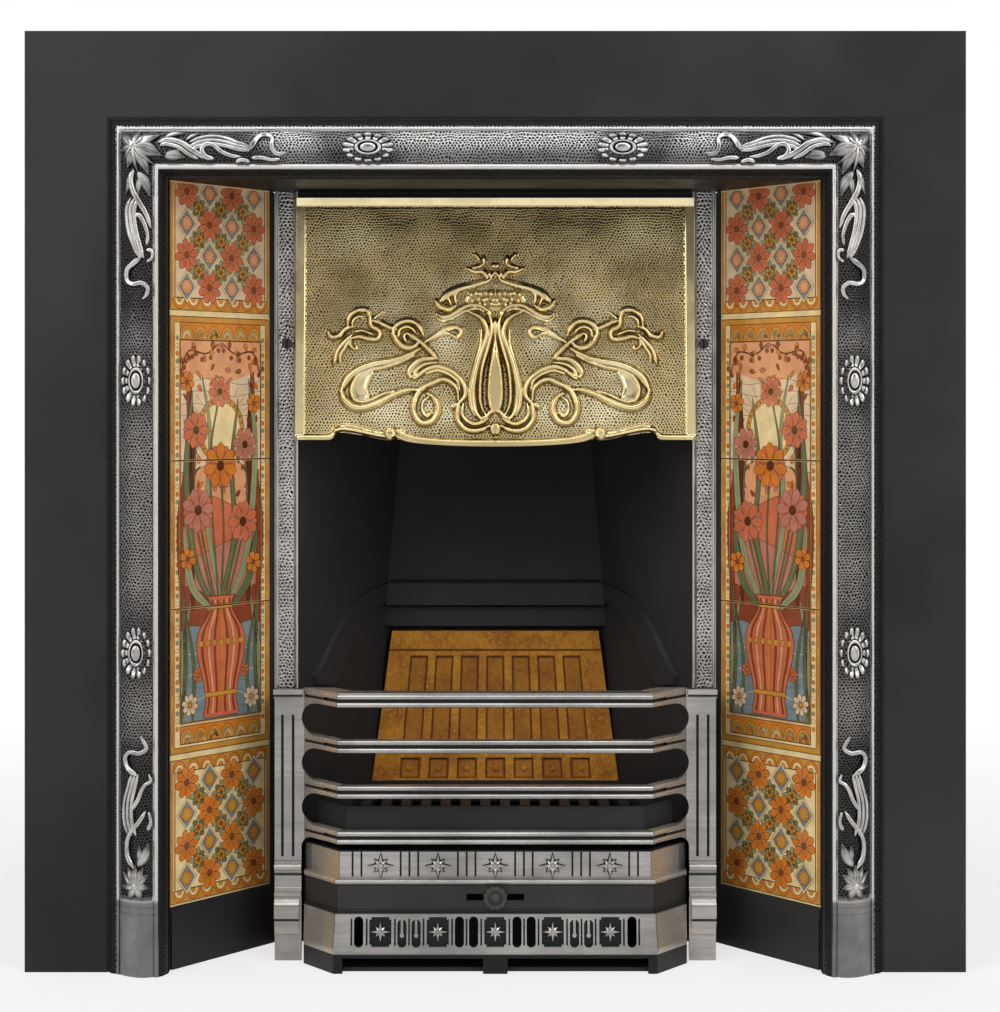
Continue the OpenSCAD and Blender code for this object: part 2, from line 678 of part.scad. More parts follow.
// middle of a brick panel at a height, drawn in with the slanting sides
function px(i, h) = (i - (brick_panels - 1)/2)*brick_pitch*(1 - 0.13*h/brick_h);

module firebrick() color([0.72, 0.47, 0.16]) place() {
    w0 = fire_hw(fire_y) - 1.5;
    z1 = ledge_z + brick_h;
    fw = brick_pitch*0.64;
    h0 = 3.5;
    h1 = 25.2;
    h2 = brick_h*0.25;
    h3 = brick_h*0.84;
    difference() {
        intersection() {
            slab_x(-far, far) polygon([[back_y(ledge_z), ledge_z], [back_y(z1), z1],
                [back_y(z1) + brick_t, z1], [back_y(ledge_z) + brick_t, ledge_z]]);
            slab_y(0, 2*far) polygon([[-w0, ledge_z], [w0, ledge_z],
                [brick_top_w/2, z1], [-brick_top_w/2, z1]]);
            fire_plan(-0.8, back_y0, back_end_y);
        }
        translate([0, back_y(ledge_z), ledge_z]) rotate([-back_lean, 0, 0])
            for (i = [0:brick_panels - 1]) {
                difference() {
                    box([px(i, h0) - fw/2, -1, h0], [px(i, h0) + fw/2, 4, h1]);
                    rod_y(-0.5, 5, px(i, h0), (h0 + h1)/2, 2.6);
                }
                slab_y(-1, 4) polygon([[px(i, h2) - fw/2, h2], [px(i, h2) + fw/2, h2],
                    [px(i, h3) + fw/2 - 1, h3], [px(i, h3) - fw/2 + 1, h3]]);
            }
        translate([0, back_y(ledge_z), ledge_z]) rotate([-back_lean, 0, 0])
            slab_y(-1, 1.3) polygon([[-w0 + brick_rim, -1], [w0 - brick_rim, -1],
                [brick_top_w/2 - brick_rim*0.68, brick_h*0.885], [brick_rim*0.68 - brick_top_w/2, brick_h*0.885]]);
    }
}

// its canted front edge follows the back of the ashpan cover
module floor_plate() color([0.15, 0.15, 0.15]) place() {
    c0 = cant_in(band_back + seat_gap);
    c1 = c0 + (cover_hw - 4 - c0[0])/ca*[ca, sa];
    m = [c0, c1, [c1[0], back_y0 - 2], [fire_hw(back_y0) - seat_gap, back_y0 - 2],
        [fire_hw(back_y0) - seat_gap, back_y0], [fire_hw(fire_y) - seat_gap, fire_y]];
    linear_extrude(floor_t) polygon(concat(m, [for (i = [5:-1:0]) [-m[i][0], m[i][1]]]));
}

// ---------- smoke hood and damper ----------
module smoke_hood() color([0.13, 0.13, 0.13]) place() {
    rim = 5;
    difference() {
        union() {
            intersection() {
                hood_frame() box([-far, 0, 0], [far, wall_t/cos(hood_slope) +
                    hood_run/cos(hood_slope), hood_t]);
                fire_plan(side_w, back_y0, back_end_y + 40);
            }
            // upright flange behind the inner head
            box([-fire_w/2 - side_w, back_y0, hood_z - 5], [fire_w/2 + side_w, back_y0 + frame_t, open_h - 0.2]);
            hood_frame() box([-flue_w/2 - rim, flue_s - rim, hood_t - 1],
                [flue_w/2 + rim, flue_s + flue_l + rim, hood_t + rim_h]);
            hood_frame() pair() {
                box([ear_x, pin_s - ear_r, hood_t - 1], [ear_x + ear_w, pin_s + ear_r, pin_n]);
                rod_x(ear_x, ear_x + ear_w, pin_s, pin_n, ear_r);
            }
        }
        hood_frame() box([-flue_w/2, flue_s, -20], [flue_w/2, flue_s + flue_l, hood_t + rim_h + 1]);
        // nothing of the flange below the sloping underside
        slab_x(-far, far) polygon([[back_y0 + 0.01, hood_z], [back_y0 + 0.01 + 60*cos(hood_slope),
            hood_z - 60*sin(hood_slope)], [back_y0 - 20, hood_z - 60], [back_y0 - 20, hood_z]]);
        hood_frame() rod_x(-far/2, far/2, pin_s, pin_n, pin_r + 0.02);
    }
}

module damper_pin() color([0.3, 0.3, 0.3]) place() hood_frame()
    rod_x(-ear_x - 30, ear_x + 30, pin_s, pin_n, pin_r);

module damper_flap() color([0.16, 0.16, 0.16]) place() hood_frame() {
    difference() {
        union() {
            box([-flue_w/2 - 10, pin_s + 11, flap_n], [flue_w/2 + 10, flue_s + flue_l + 10, flap_n + flap_t]);
            pair() {
                rod_x(ear_x + ear_w + 1, ear_x + ear_w + 17, pin_s, pin_n, ear_r);
                box([ear_x + ear_w + 1, pin_s, flap_n], [ear_x + ear_w + 17, pin_s + 14, flap_n + flap_t]);
            }
            // lever reached from the fire through the opening
            slab_x(-6, 6) polygon([[flue_s + 80, flap_n + 1], [flue_s + 86, -14], [flue_s + 94, -20],
                [flue_s + 96, -12], [flue_s + 94, flap_n + 1]]);
            // stiffening ribs
            for (x = [-50, 50]) box([x - 3, pin_s + 20, flap_n + flap_t - 1],
                [x + 3, flue_s + flue_l, flap_n + flap_t + 3]);
        }
        rod_x(-far/2, far/2, pin_s, pin_n, pin_r + pin_gap);
    }
}

// ---------- bottom grate ----------
module grate_plan(d) {
    g = 18 + d;
    c0 = cant_in(g);
    c1 = c0 + (fire_hw(back_y0) - 10 - d - c0[0])/ca*[ca, sa];
    c2 = [c1[0], back_y0 - 6];
    c3 = [fire_hw(fire_y) - 3 - d, fire_y - 2 - d];
    c4 = [fire_hw(back_y0 + 14) - 3 - d, back_y0 + 14];
    m = [c1, c2, c4, c3];
    polygon(concat([[-c0[0], c0[1]], c0], m, [for (i = [3:-1:0]) [-m[i][0], m[i][1]]]));
}

module bottom_grate() color([0.16, 0.16, 0.16]) place() {
    n = floor(fire_hw(fire_y)/grate_pitch);
    difference() {
        translate([0, 0, grate_z]) linear_extrude(grate_t) grate_plan(0);
        intersection() {
            translate([0, 0, grate_z - 1]) linear_extrude(grate_t + 2) grate_plan(12);
            for (i = [-n - 2:n + 2])
                box([i*grate_pitch - grate_slot/2, 0, grate_z - 1],
                    [i*grate_pitch + grate_slot/2, far, grate_top + 1]);
        }
        // cross bar cut lower between the slots
        box([-far, 150, grate_top - 2], [far, 158, grate_top + 1]);
    }
    intersection() {
        translate([0, 0, grate_z]) difference() {
            linear_extrude(grate_lip_h) grate_plan(0);
            translate([0, 0, -1]) linear_extrude(grate_lip_h + 2) grate_plan(5);
        }
        box([-far, 0, 0], [far, panel_y + 12, far]);
    }
}

// ---------- front bars ----------
// two beads with a groove between them, as (distance in front, height)
module bar_section() {
    b = bar_h*0.195;
    polygon(concat([[-bar_t, 0], [-b, 0]], arc(-b, b, b, -90, 90, 8),
        [[-b - 1, 2*b + 0.2], [-b - 1, bar_h - 2*b - 0.2]],
        arc(-b, bar_h - b, b, -90, 90, 8), [[-bar_t, bar_h]]));
}

module panel_side_profile() {
    y = panel_y;
    polygon(concat(
        [[y + 24, 0], [y + 1, 0], [y + 1, 26.3], [y - 1.5, 27.5]],
        bez([[y - 2, 28], [y - 1, 38], [y - 8, 40], [y - 8, 52]], 8),
        bez([[y - 8, 53], [y - 8, 62], [y - 2, 62], [y - 2, 66.5]], 6),
        arc(y - 2.5, 69.7, 2.8, 250, 90, 6),
        [[y - 1, 73], [y - 1, 75]],
        bez([[y - 0.5, 76], [y + 3, 80], [y + 2, 90], [y - 3, 91]], 8),
        [[y - 1.5, 92.5], [y - 2, 94]],
        arc(y - 2, 98, 4, 270, 90, 8),
        [[y - 3, 102], [y - 3, 104], [y, 104.5], [y + panel_t, 104.5], [y + panel_t, 30], [y + 24, 24]]));
}

module front_bars() color([0.58, 0.58, 0.59]) place() {
    e = cant_pt(bevel_t, 0);
    t_in = (panel_y + panel_t - cant_pt(0, -web_t)[1])/sa;
    difference() {
        union() {
            // canted webs and upright panels
            pair() linear_extrude(rail_top) polygon([cant_pt(26, -0.8), [e[0] + 0.5, panel_y],
                [panel_hw, panel_y], [panel_hw, panel_y + panel_t],
                cant_pt(t_in, -web_t), cant_pt(26, -web_t)]);
            // side plates back to the pilasters
            pair() box([panel_hw - side_t, panel_y + panel_t - 1, 0], [panel_hw, recess_y - 1.4, rail_top - 7]);
        }
        // round-ended slots between the bars, cut a little into the bars' own space
        for (i = [0:bar_count - 2]) {
            z = bar_z + bar_h + i*bar_pitch + gap_h/2;
            x = panel_in - slot_r - 0.3;
            box([-x, -50, z - slot_r], [x, panel_y + panel_t + 4, z + slot_r]);
            pair() rod_y(-50, panel_y + panel_t + 4, x, z, slot_r);
        }
        // mouth of the ashpan
        box([-panel_in, -50, -1], [panel_in, panel_y + panel_t + 4, mouth_z]);
        box([-panel_in + mouth_r, -50, mouth_z - 1],
            [panel_in - mouth_r, panel_y + panel_t + 4, mouth_z + mouth_r]);
        pair() rod_y(-50, panel_y + panel_t + 4, panel_in - mouth_r, mouth_z, mouth_r);
        // flutes
        pair() for (x = [0.31, 0.71]) round_slot(panel_in + panel_w*x, 108.8, rail_top - 26.6,
            flute_w, panel_y - 1, panel_y + 2);
    }
    for (i = [0:bar_count - 1]) translate([0, 0, bar_z + i*bar_pitch])
        canted_run(front_hw, far, panel_y + 4) bar_section();
    // broad top of the upper rail
    translate([0, 0, rail_top]) canted_run(front_hw, far, panel_y + 4)
        polygon([[-rail_t, -4], [-4, -4], [-4, -0.5], [-1.6, 0], [-1.6, 0.6], [-2.4, rail_rise], [-rail_t, rail_rise]]);
    pair() {
        difference() {
            slab_x(panel_in, panel_hw) panel_side_profile();
            box([panel_in - 1, panel_y - 20, -1], [panel_in + 2.4, panel_y + 30, 66]);
        }
        // cap moulding
        slab_x(panel_in - 1.5, panel_hw + 1) polygon(concat(
            [[panel_y + panel_t, rail_top], [panel_y + panel_t, rail_top - 10], [panel_y - 0.1, rail_top - 10],
             [panel_y - 1.5, rail_top - 8]],
            bez([[panel_y - 2, rail_top - 7.5], [panel_y - 6, rail_top - 7], [panel_y - 6, rail_top - 4.5]], 6),
            [[panel_y - 6, rail_top]]));
        // tongue that drops into the pilaster's lug
        box([fire_w/2 + 2.5, recess_y - 9, rail_top - 38], [panel_hw - 1, recess_y - 3, rail_top - 18]);
    }
}

// ---------- ashpan cover, air slide and knob ----------
module cover_section() {
    polygon(concat([[-band_back, 0], [7, 0], [7, plinth_h], [7.8, plinth_h + 0.4]],
        bez([[8, plinth_h + 1], [8, plinth_h + 12], [4.5, plinth_h + 16], [4, fret_z1 - 2]], 8),
        [[4, fret_z1], [0, fret_z1], [0, fret_z1 + 2.6], [-0.5, fret_z1 + 3], [0, fret_z1 + 3.4],
         [0, 89.2], [-1, 89.2], [-1, 90.5]],
        arc(1.5, 93, 2.5, -90, 90, 8),
        [[-5, 95.6], [-5, cover_h - 1], [-6, cover_h], [-11, cover_h], [-11, 86], [-band_back, 86]]));
}

module star_relief(r, y, t) {
    slab_y(y - t*0.6, y + 1) polygon(star(4, r*0.72, r*0.28) * [[0.7071, 0.7071], [-0.7071, 0.7071]]);
    slab_y(y - t, y + 1) polygon(star(4, r, r*0.24));
    rod_y(y - t - 0.8, y + 1, 0, 0, r*0.2);
}

module ashpan_cover() color([0.6, 0.6, 0.6]) place() {
    y_fret = -6;
    recess = 22.5;
    z_mid = (slot_z + slot_z + slot_h)/2;
    difference() {
        canted_run(front_hw, cover_hw, panel_y + 40) cover_section();
        // arches under the plinth
        pair() box([foot_w/2, -20, -1], [front_hw - 5.5, 20, arch_h]);
        // through slots
        for (x = concat(slot_xs, [-end_slot_x, end_slot_x]))
            round_slot(x, slot_z, slot_z + slot_h, slot_w, -20, 10);
        // notched square recesses behind the lower stars
        for (i = [-2:2]) translate([i*star_pitch, 0, z_mid]) {
            box([-recess/2 + 2.2, -12, -15], [recess/2 - 2.2, -2.5, 15]);
            box([-recess/2, -12, -12.5], [recess/2, -2.5, 12.5]);
        }
        // thin flutes, and blind slots with a middle rib between the outer stars
        pair() for (x = [14.4, 29.45, 44.2, 73.4, 88.2, 102.6, 131.5, 147.2])
            round_slot(x, slot_z + 2, slot_z + slot_h - 2, 1.8, -12, -3.6);
        pair() for (x = [81, 95.5]) difference() {
            round_slot(x, slot_z, slot_z + slot_h - 3, slot_w, -12, -2.5);
            box([x - 1.2, -13, slot_z + 12], [x + 1.2, 0, slot_z + slot_h]);
            rod_y(-13, 0, x, slot_z + 12, 2.2);
        }
        // grooves of the upper row
        for (i = [-2:1], k = [-9, 0, 9])
            round_slot((i + 0.5)*star_pitch + k, 97, cover_h - 1.5, 2, -1, 6.5);
        pair() for (x = [137.5, 146.6]) round_slot(x, 97, cover_h - 1.5, 2, -1, 6.5);
        // path of the knob's stem
        box([-slide_travel - stem_r - 0.5, -5, knob_z - stem_r - 0.3],
            [slide_travel + stem_r + 0.5, 6, knob_z + stem_r + 0.3]);
    }
    for (i = [-2:2]) {
        translate([i*star_pitch, 0, 108.5]) star_relief(star_r, 5, 3.4);
        translate([i*star_pitch, 0, z_mid]) star_relief(star_r*0.84, -2.5, 3);
    }
    // guides behind, above and below the slide
    reach = slide_hw + slide_travel + 3;
    lip_y = slide_y + slide_t + seat_gap;
    slab_x(-reach, reach) polygon([[band_back - 1, slide_z0 - 6], [lip_y + 2.4, slide_z0 - 6],
        [lip_y + 2.4, slide_z0 + 4], [lip_y, slide_z0 + 4], [lip_y, slide_z0 - seat_gap],
        [band_back - 1, slide_z0 - seat_gap]]);
    pair() slab_x(12 + slide_travel + 2, reach) polygon([[band_back - 1, slide_z1 + 4.5],
        [lip_y + 2.4, slide_z1 + 4.5], [lip_y + 2.4, slide_z1 - 3], [lip_y, slide_z1 - 3],
        [lip_y, slide_z1 + seat_gap], [band_back - 1, slide_z1 + seat_gap]]);
}

module air_slide() color([0.2, 0.2, 0.2]) place() difference() {
    union() {
        box([-slide_hw, slide_y, slide_z0], [slide_hw, slide_y + slide_t, slide_z1]);
        box([-12, slide_y, slide_z1 - 1], [12, slide_y + slide_t, knob_z + 7]);
    }
    for (x = slot_xs) round_slot(x, slot_z, slot_z + slot_h, slot_w, 0, 20);
    rod_y(0, 20, 0, knob_z, stem_r - 0.7 + pin_gap);
}

module air_knob() color([0.12, 0.12, 0.12]) place() {
    rod_y(-4, slide_y - 0.1, 0, knob_z, stem_r);
    rod_y(-4, slide_y + slide_t + 0.5, 0, knob_z, stem_r - 0.7);
    translate([0, 0, knob_z]) {
        slab_y(-4, -1) polygon(lobes(12, knob_r, 1.6));
        slab_y(-6, -3) difference() {
            polygon(lobes(12, knob_r - 0.8, 1.6));
            circle(r = knob_r*0.62);
        }
        translate([0, -3.5, 0]) rotate([90, 0, 0])
            rotate_extrude() polygon(concat([[0, 0], [5.5, 0]], arc(0, 0, 5.5, 0, 90, 8)));
    }
}

// ---------- ash pan ----------
module ash_pan() color([0.22, 0.22, 0.23]) place() {
    difference() {
        box([-pan_w/2, pan_y0, pan_z], [pan_w/2, pan_y1, pan_z + pan_h]);
        box([-pan_w/2 + pan_t, pan_y0 + pan_t, pan_z + pan_t], [pan_w/2 - pan_t, pan_y1 - pan_t, far]);
        pair() rod_y(pan_y0 - 1, pan_y0 + pan_t + 1, 45, pan_z + pan_h*0.62, 3 + pin_gap);
    }
    // rolled rim
    z = pan_z + pan_h - 2;
    pair() rod_y(pan_y0, pan_y1, pan_w/2 + 0.5, z, 2);
    rod_x(-pan_w/2, pan_w/2, pan_y1 + 0.5, z, 2);
    rod_x(-pan_w/2, pan_w/2, pan_y0 - 0.5, z, 2);
}

module ash_pan_handle() color([0.3, 0.3, 0.3]) place() {
    z = pan_z + pan_h*0.62;
    r = 3;
    bow = 9;
    pair() {
        rod_y(pan_y0 - 8, pan_y0 + pan_t + 3, 45, z, r);
        translate([45 - bow, pan_y0 - 8, z]) rotate([180, 0, 0])
            rotate_extrude(angle = 90) translate([bow, 0]) circle(r = r);
    }
    rod_x(-45 + bow, 45 - bow, pan_y0 - 8 - bow, z, r);
}

surround_plate();
border_moulding();
head_plate();
inner_head();
tile_cheek_left();
tile_cheek_right();
tile_tray_left();
tile_tray_right();
tile(-1, 1);  // tile_left_1
tile(-1, 2);  // tile_left_2
tile(-1, 3);  // tile_left_3
tile(-1, 4);  // tile_left_4
tile(-1, 5);  // tile_left_5
tile(1, 1);  // tile_right_1
tile(1, 2);  // tile_right_2
tile(1, 3);  // tile_right_3
tile(1, 4);  // tile_right_4
tile(1, 5);  // tile_right_5
pilaster_left();
pilaster_right();
canopy();
canopy_screw_left();
canopy_screw_right();
firebox_cheek_left();
firebox_cheek_right();
fireback();
firebrick();
floor_plate();
smoke_hood();
damper_pin();
damper_flap();
bottom_grate();
front_bars();
ashpan_cover();
air_slide();
air_knob();
ash_pan();
ash_pan_handle();
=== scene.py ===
"""Cast iron tiled fireplace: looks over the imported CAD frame. Design lengths are in mm, materials in metres."""
from math import atan, cos, dist, exp, pi, radians, sin, sqrt
import bpy
import numpy as np
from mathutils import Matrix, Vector


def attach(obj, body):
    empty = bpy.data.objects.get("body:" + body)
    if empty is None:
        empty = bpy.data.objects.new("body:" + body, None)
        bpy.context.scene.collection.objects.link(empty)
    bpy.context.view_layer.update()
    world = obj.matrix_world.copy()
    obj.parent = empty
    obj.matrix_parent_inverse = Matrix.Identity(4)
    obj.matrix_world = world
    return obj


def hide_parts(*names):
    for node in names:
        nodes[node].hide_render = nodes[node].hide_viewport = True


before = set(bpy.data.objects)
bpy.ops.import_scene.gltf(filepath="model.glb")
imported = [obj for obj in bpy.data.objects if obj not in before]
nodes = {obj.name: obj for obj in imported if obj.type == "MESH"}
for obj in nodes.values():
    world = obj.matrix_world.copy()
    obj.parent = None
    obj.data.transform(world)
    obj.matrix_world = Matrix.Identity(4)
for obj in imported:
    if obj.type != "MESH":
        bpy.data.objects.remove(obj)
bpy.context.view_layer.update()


YM = 172.43583515  # design depth of the frame's middle
CAM_Y, CAM_Z = 2330, 578.4  # the camera's distance from the surround's face, and its height
CAM_F, CAM_U, CAM_V = 2273, 495.3, 408  # focal length and optical centre, in the photograph's pixels
TAU = 2 * pi
SIDES = (-1, 1)
WIDE, HIGH = 1.62, 1.45  # how much wider and higher the ornament's strokes are cast than they are drawn
BAR_Z, BAR_PITCH = 0.1305, 0.0468  # of the front bars, in metres
BRICK_Y, BRICK_Z = 0.285, 0.15  # foot of the firebrick's face, in metres
LEAN_SIN, LEAN_COS = 0.16505, 0.98629  # the firebrick leans back


def lin(c):
    return tuple(v / 12.92 if v <= 0.04045 else ((v + 0.055) / 1.055) ** 2.4 for v in c)


def rgb(r, g, b):
    return lin((r / 255, g / 255, b / 255)) + (1,)


def scaled(c, k, plus=0):
    return tuple(min(1, v * k + plus) for v in c[:3]) + (1,)


def link(o):
    bpy.context.collection.objects.link(o)
    return o


# ---------------- camera
cam_data = bpy.data.cameras.new("view_camera")
cam = link(bpy.data.objects.new("view_camera", cam_data))
cam.location = (0, -(CAM_Y + YM) / 1000, CAM_Z / 1000)
cam.rotation_euler = (radians(90), 0, 0)
for key, v in {"sensor_fit": "HORIZONTAL", "sensor_width": 36, "lens": 81.83, "shift_x": 0.0047,
               "shift_y": -0.098, "clip_start": 0.05, "clip_end": 50}.items():
    setattr(cam_data, key, v)
bpy.context.scene.camera = cam


# ---------------- materials
def op(kind, flip=False):
    """A method that puts a Math node of this kind behind a value."""
    def f(a, b=0):
        return a.mat.math(kind, b, a) if flip else a.mat.math(kind, a, b)
    return f


class Value:
    """One output of a material's nodes. As masks, * is and, | is or."""
    def __init__(self, mat, out):
        self.mat, self.out = mat, out

    __add__, __sub__, __mul__, __truediv__ = map(op, ("ADD", "SUBTRACT", "MULTIPLY", "DIVIDE"))
    __gt__, __lt__, __mod__, __or__ = map(op, ("GREATER_THAN", "LESS_THAN", "MODULO", "MAXIMUM"))
    __rsub__ = op("SUBTRACT", True)
    __abs__, floor, fract, sqrt, pingpong = map(op, ("ABSOLUTE", "FLOOR", "FRACT", "SQRT", "PINGPONG"))

    def ramp(self, lo, hi, a=0, b=1, kind="SMOOTHSTEP"):
        node = self.mat.n("MapRange", interpolation_type=kind)
        for socket, v in zip(node.inputs, (self, lo, hi, a, b)):
            self.mat.put(socket, v)
        return Value(self.mat, node.outputs[0])

    def line(self, lo, hi, a=0, b=1):
        return self.ramp(lo, hi, a, b, "LINEAR")

    def within(self, lo, hi):
        return (self > lo) * (self < hi)


class Nodes:
    """Short names for the nodes of a tree."""
    def __init__(self, tree):
        self.t = tree

    def n(self, kind, **kw):
        node = self.t.nodes.new("ShaderNode" + kind)
        for k, v in kw.items():
            setattr(node, k, v)
        return node

    def put(self, socket, v):
        v = v.out if isinstance(v, Value) else v
        if isinstance(v, bpy.types.NodeSocket):
            self.t.links.new(v, socket)
        else:
            socket.default_value = v

    def math(self, kind, a, b=0):
        node = self.n("Math", operation=kind)
        self.put(node.inputs[0], a)
        self.put(node.inputs[1], b)
        return Value(self, node.outputs[0])

    def surface(self, fac, a, b):
        """Two shaders mixed, into the tree's output."""
        node = self.n("MixShader")
        for socket, v in zip(node.inputs, (fac, a, b)):
            self.put(socket, v)
        out = next(n for n in self.t.nodes if n.type.startswith("OUTPUT"))
        self.put(out.inputs["Surface"], node.outputs[0])


class Mat(Nodes):
    """A Principled material."""
    def __init__(self, name, color, metallic, rough, **kw):
        self.m = bpy.data.materials.new(name)
        self.m.use_nodes = True
        self.m.diffuse_color = color
        super().__init__(self.m.node_tree)
        self.b = self.t.nodes["Principled BSDF"]
        for k, v in {"Base Color": color, "Metallic": metallic, "Roughness": rough, **kw}.items():
            self.b.inputs[k].default_value = v
        self.coord = self.n("TexCoord").outputs["Object"]

    def xyz(self, vec=None):
        node = self.n("SeparateXYZ")
        self.put(node.inputs[0], vec or self.coord)
        return [Value(self, s) for s in node.outputs]

    def texture(self, kind, out, scale, vec=None, **kw):
        node = self.n("Tex" + kind)
        self.put(node.inputs["Vector"], vec or self.coord)
        for k, v in {"Scale": scale, **kw}.items():
            node.inputs[k].default_value = v
        return Value(self, node.outputs[out])

    def noise(self, scale, detail=2, rough=0.5, vec=None):
        return self.texture("Noise", "Fac", scale, vec, Detail=detail, Roughness=rough)

    def mix(self, fac, a, b):
        node = self.n("Mix", data_type="RGBA")
        self.put(node.inputs["Factor"], fac)
        for k, v in ((6, a), (7, b)):
            self.put(node.inputs[k], v if isinstance(v, Value) else tuple(v[:3]) + (1,))
        return Value(self, node.outputs[2])

    def attr(self, name):
        return Value(self, self.n("Attribute", attribute_name=name).outputs["Fac"])

    def done(self, color, rough, height, deep, strength, metallic=None):
        """Colour, roughness, bump and metal go to the shader, and the material comes back."""
        node = self.n("Bump")
        for k, v in (("Strength", strength), ("Distance", deep), ("Height", height)):
            self.put(node.inputs[k], v)
        self.put(self.b.inputs["Normal"], node.outputs[0])
        for k, v in (("Base Color", color), ("Roughness", rough), ("Metallic", metallic)):
            if v is not None:
                self.put(self.b.inputs[k], v)
        return self.m


def black_iron(name, base, rough, spot):
    """Graphite black over a fine casting skin."""
    m = Mat(name, base, 0, rough, **{"IOR": 1.45, "Specular IOR Level": 0.14})
    return m.done(m.mix(m.noise(3.2, 3, 0.6).ramp(0.3, 0.7), scaled(base, 1 - spot), scaled(base, 1 + spot, 0.004)),
                  m.noise(14, 4, 0.65).ramp(0.3, 0.7, rough - 0.06, rough + 0.08),
                  m.noise(900, 3, 0.6) + m.noise(160, 2) * 0.8, 0.00012, 0.5)


def polished_iron(name, base, rough):
    """Burnished metal with streaks and clouds."""
    m = Mat(name, base, 1, rough)
    streak = m.noise(260, 4, 0.65)
    cloud = m.noise(16, 4, 0.6)
    return m.done(m.mix(cloud.ramp(0.3, 0.7), scaled(base, 0.72), scaled(base, 1.22)),
                  (streak + cloud * 0.5).ramp(0.4, 1.1, rough - 0.08, rough + 0.14),
                  streak + m.noise(1100, 2, 0.5) * 0.6, 0.00006, 0.35)


def hammered(name, mask_of, base, bright, pit, rough, pitch, depth, dot, kind=None):
    """Metal with a field of small round pits where the mask is 1, plain elsewhere."""
    m = Mat(name, base, 1, rough)
    mask = mask_of(m)
    # the pits lie in staggered rows in the plane of the front face, each a little out of line
    warp = m.n("VectorMath", operation="MULTIPLY_ADD")
    m.put(warp.inputs[0], m.texture("Noise", "Color", 0.3 / pitch))
    warp.inputs[1].default_value = (pitch * 1.9,) * 3
    m.put(warp.inputs[2], m.coord)
    x, _, z = m.xyz(warp.outputs[0])
    v = z / (pitch * 0.87)
    du = (x / pitch + v.floor() * 0.5).fract() - 0.5
    dv = (v.fract() - 0.5) * 0.87
    d = (du * du + dv * dv).sqrt()
    on = mask.line(0.1, 0.45)
    pits = d.ramp(dot * 0.72, dot * 1.28, 1, 0) * on
    cloud = m.noise(22, 4, 0.6).ramp(0.3, 0.7)
    c = m.mix(cloud, base, bright)
    r = cloud.ramp(0, 1, rough - 0.06, rough + 0.08) + pits * 0.3
    metal = None
    if kind == "relief":
        h = m.attr("relief")  # below 0 in the hollows at the foot of the forms, above 0 on their tops
        c = m.mix(m.noise(9, 3, 0.5).ramp(0.45, 0.62, 0, 0.3), c, (0.3, 0.22, 0.095))
        # painted highlight: broad bright patches over the brass
        c = m.mix(m.attr("sheen").line(0, 1), c, (0.97, 0.86, 0.55))
        # the tops of the forms painted bright and the hollows at their feet dark: partly polish and patina, partly
        # painted highlight and painted shade
        c = m.mix(h.ramp(0.04, 0.55, 0, 0.8), c, (0.88, 0.73, 0.4))
        c = m.mix(h.ramp(-0.75, -0.06, 0.86, 0), c, (0.07, 0.046, 0.016))
    if kind == "ground":
        z = m.xyz()[2]
        head = z.ramp(0.835, 0.865)  # painted highlight: the head of the frame is painted brighter than its legs, and the legs get painted shade
        c = m.mix(head * 0.8, c, (0.8, 0.79, 0.775))
        c = m.mix(head.ramp(0, 1, 0.34, 0), c, (0.02, 0.02, 0.02))
        # black stays in the hollows between the flowers, deepened by painted shade among the forms, and polish only on
        # the open field
        c = m.mix(on * mask.line(0.5, 1, 1, 0) * 0.86, c, (0.022, 0.021, 0.021))
        c = m.mix(mask.line(1.3, 1.7), c, (0.012, 0.0115, 0.0115))
        m.b.inputs["Specular IOR Level"].default_value = 0.15
        # painted highlight: the plain beads above the plinths are painted near white
        c = m.mix(mask.line(0, 0.08, 0.9, 0) * z.ramp(0.074, 0.08), c, (0.66, 0.65, 0.64))
        r = r + mask.line(1.3, 1.7, 0, 0.16)
        metal = mask.line(1.3, 1.7, 1, 0)
    return m.done(m.mix(pits, c, pit), r, d.ramp(dot, 0.55) * on * 0.4 - pits, depth, 0.9, metal)


def face_mask(m):
    """The pilasters' hammered front, between their plain edges."""
    ax = abs(m.xyz()[0])
    front = m.xyz(m.n("NewGeometry").outputs["Normal"])[1]
    return ax.within(0.2184, 0.234) * (front < -0.7)


def relief_iron(name):
    """Cast flowers: polished on their tops, black left low down. The attribute is the height, 0 to 1."""
    m = Mat(name, (0.5, 0.495, 0.49, 1), 1, 0.24)
    edge = Value(m, m.n("NewGeometry").outputs["Pointiness"])
    # concave creases stay dark: partly the black left in the hollows, partly painted shade
    top = m.attr("field").ramp(0.1, 0.8) * edge.ramp(0.43, 0.5, 0.25, 1)
    cloud = m.noise(60, 4, 0.6).ramp(0.3, 0.7)
    c = m.mix(cloud, (0.36, 0.352, 0.345), (0.6, 0.59, 0.58))
    return m.done(m.mix(top, (0.02, 0.019, 0.019), c), cloud.ramp(0, 1, 0.22, 0.34) + top.ramp(0, 1, 0.2, 0),
                  m.noise(900, 3, 0.6), 0.00008, 0.5)


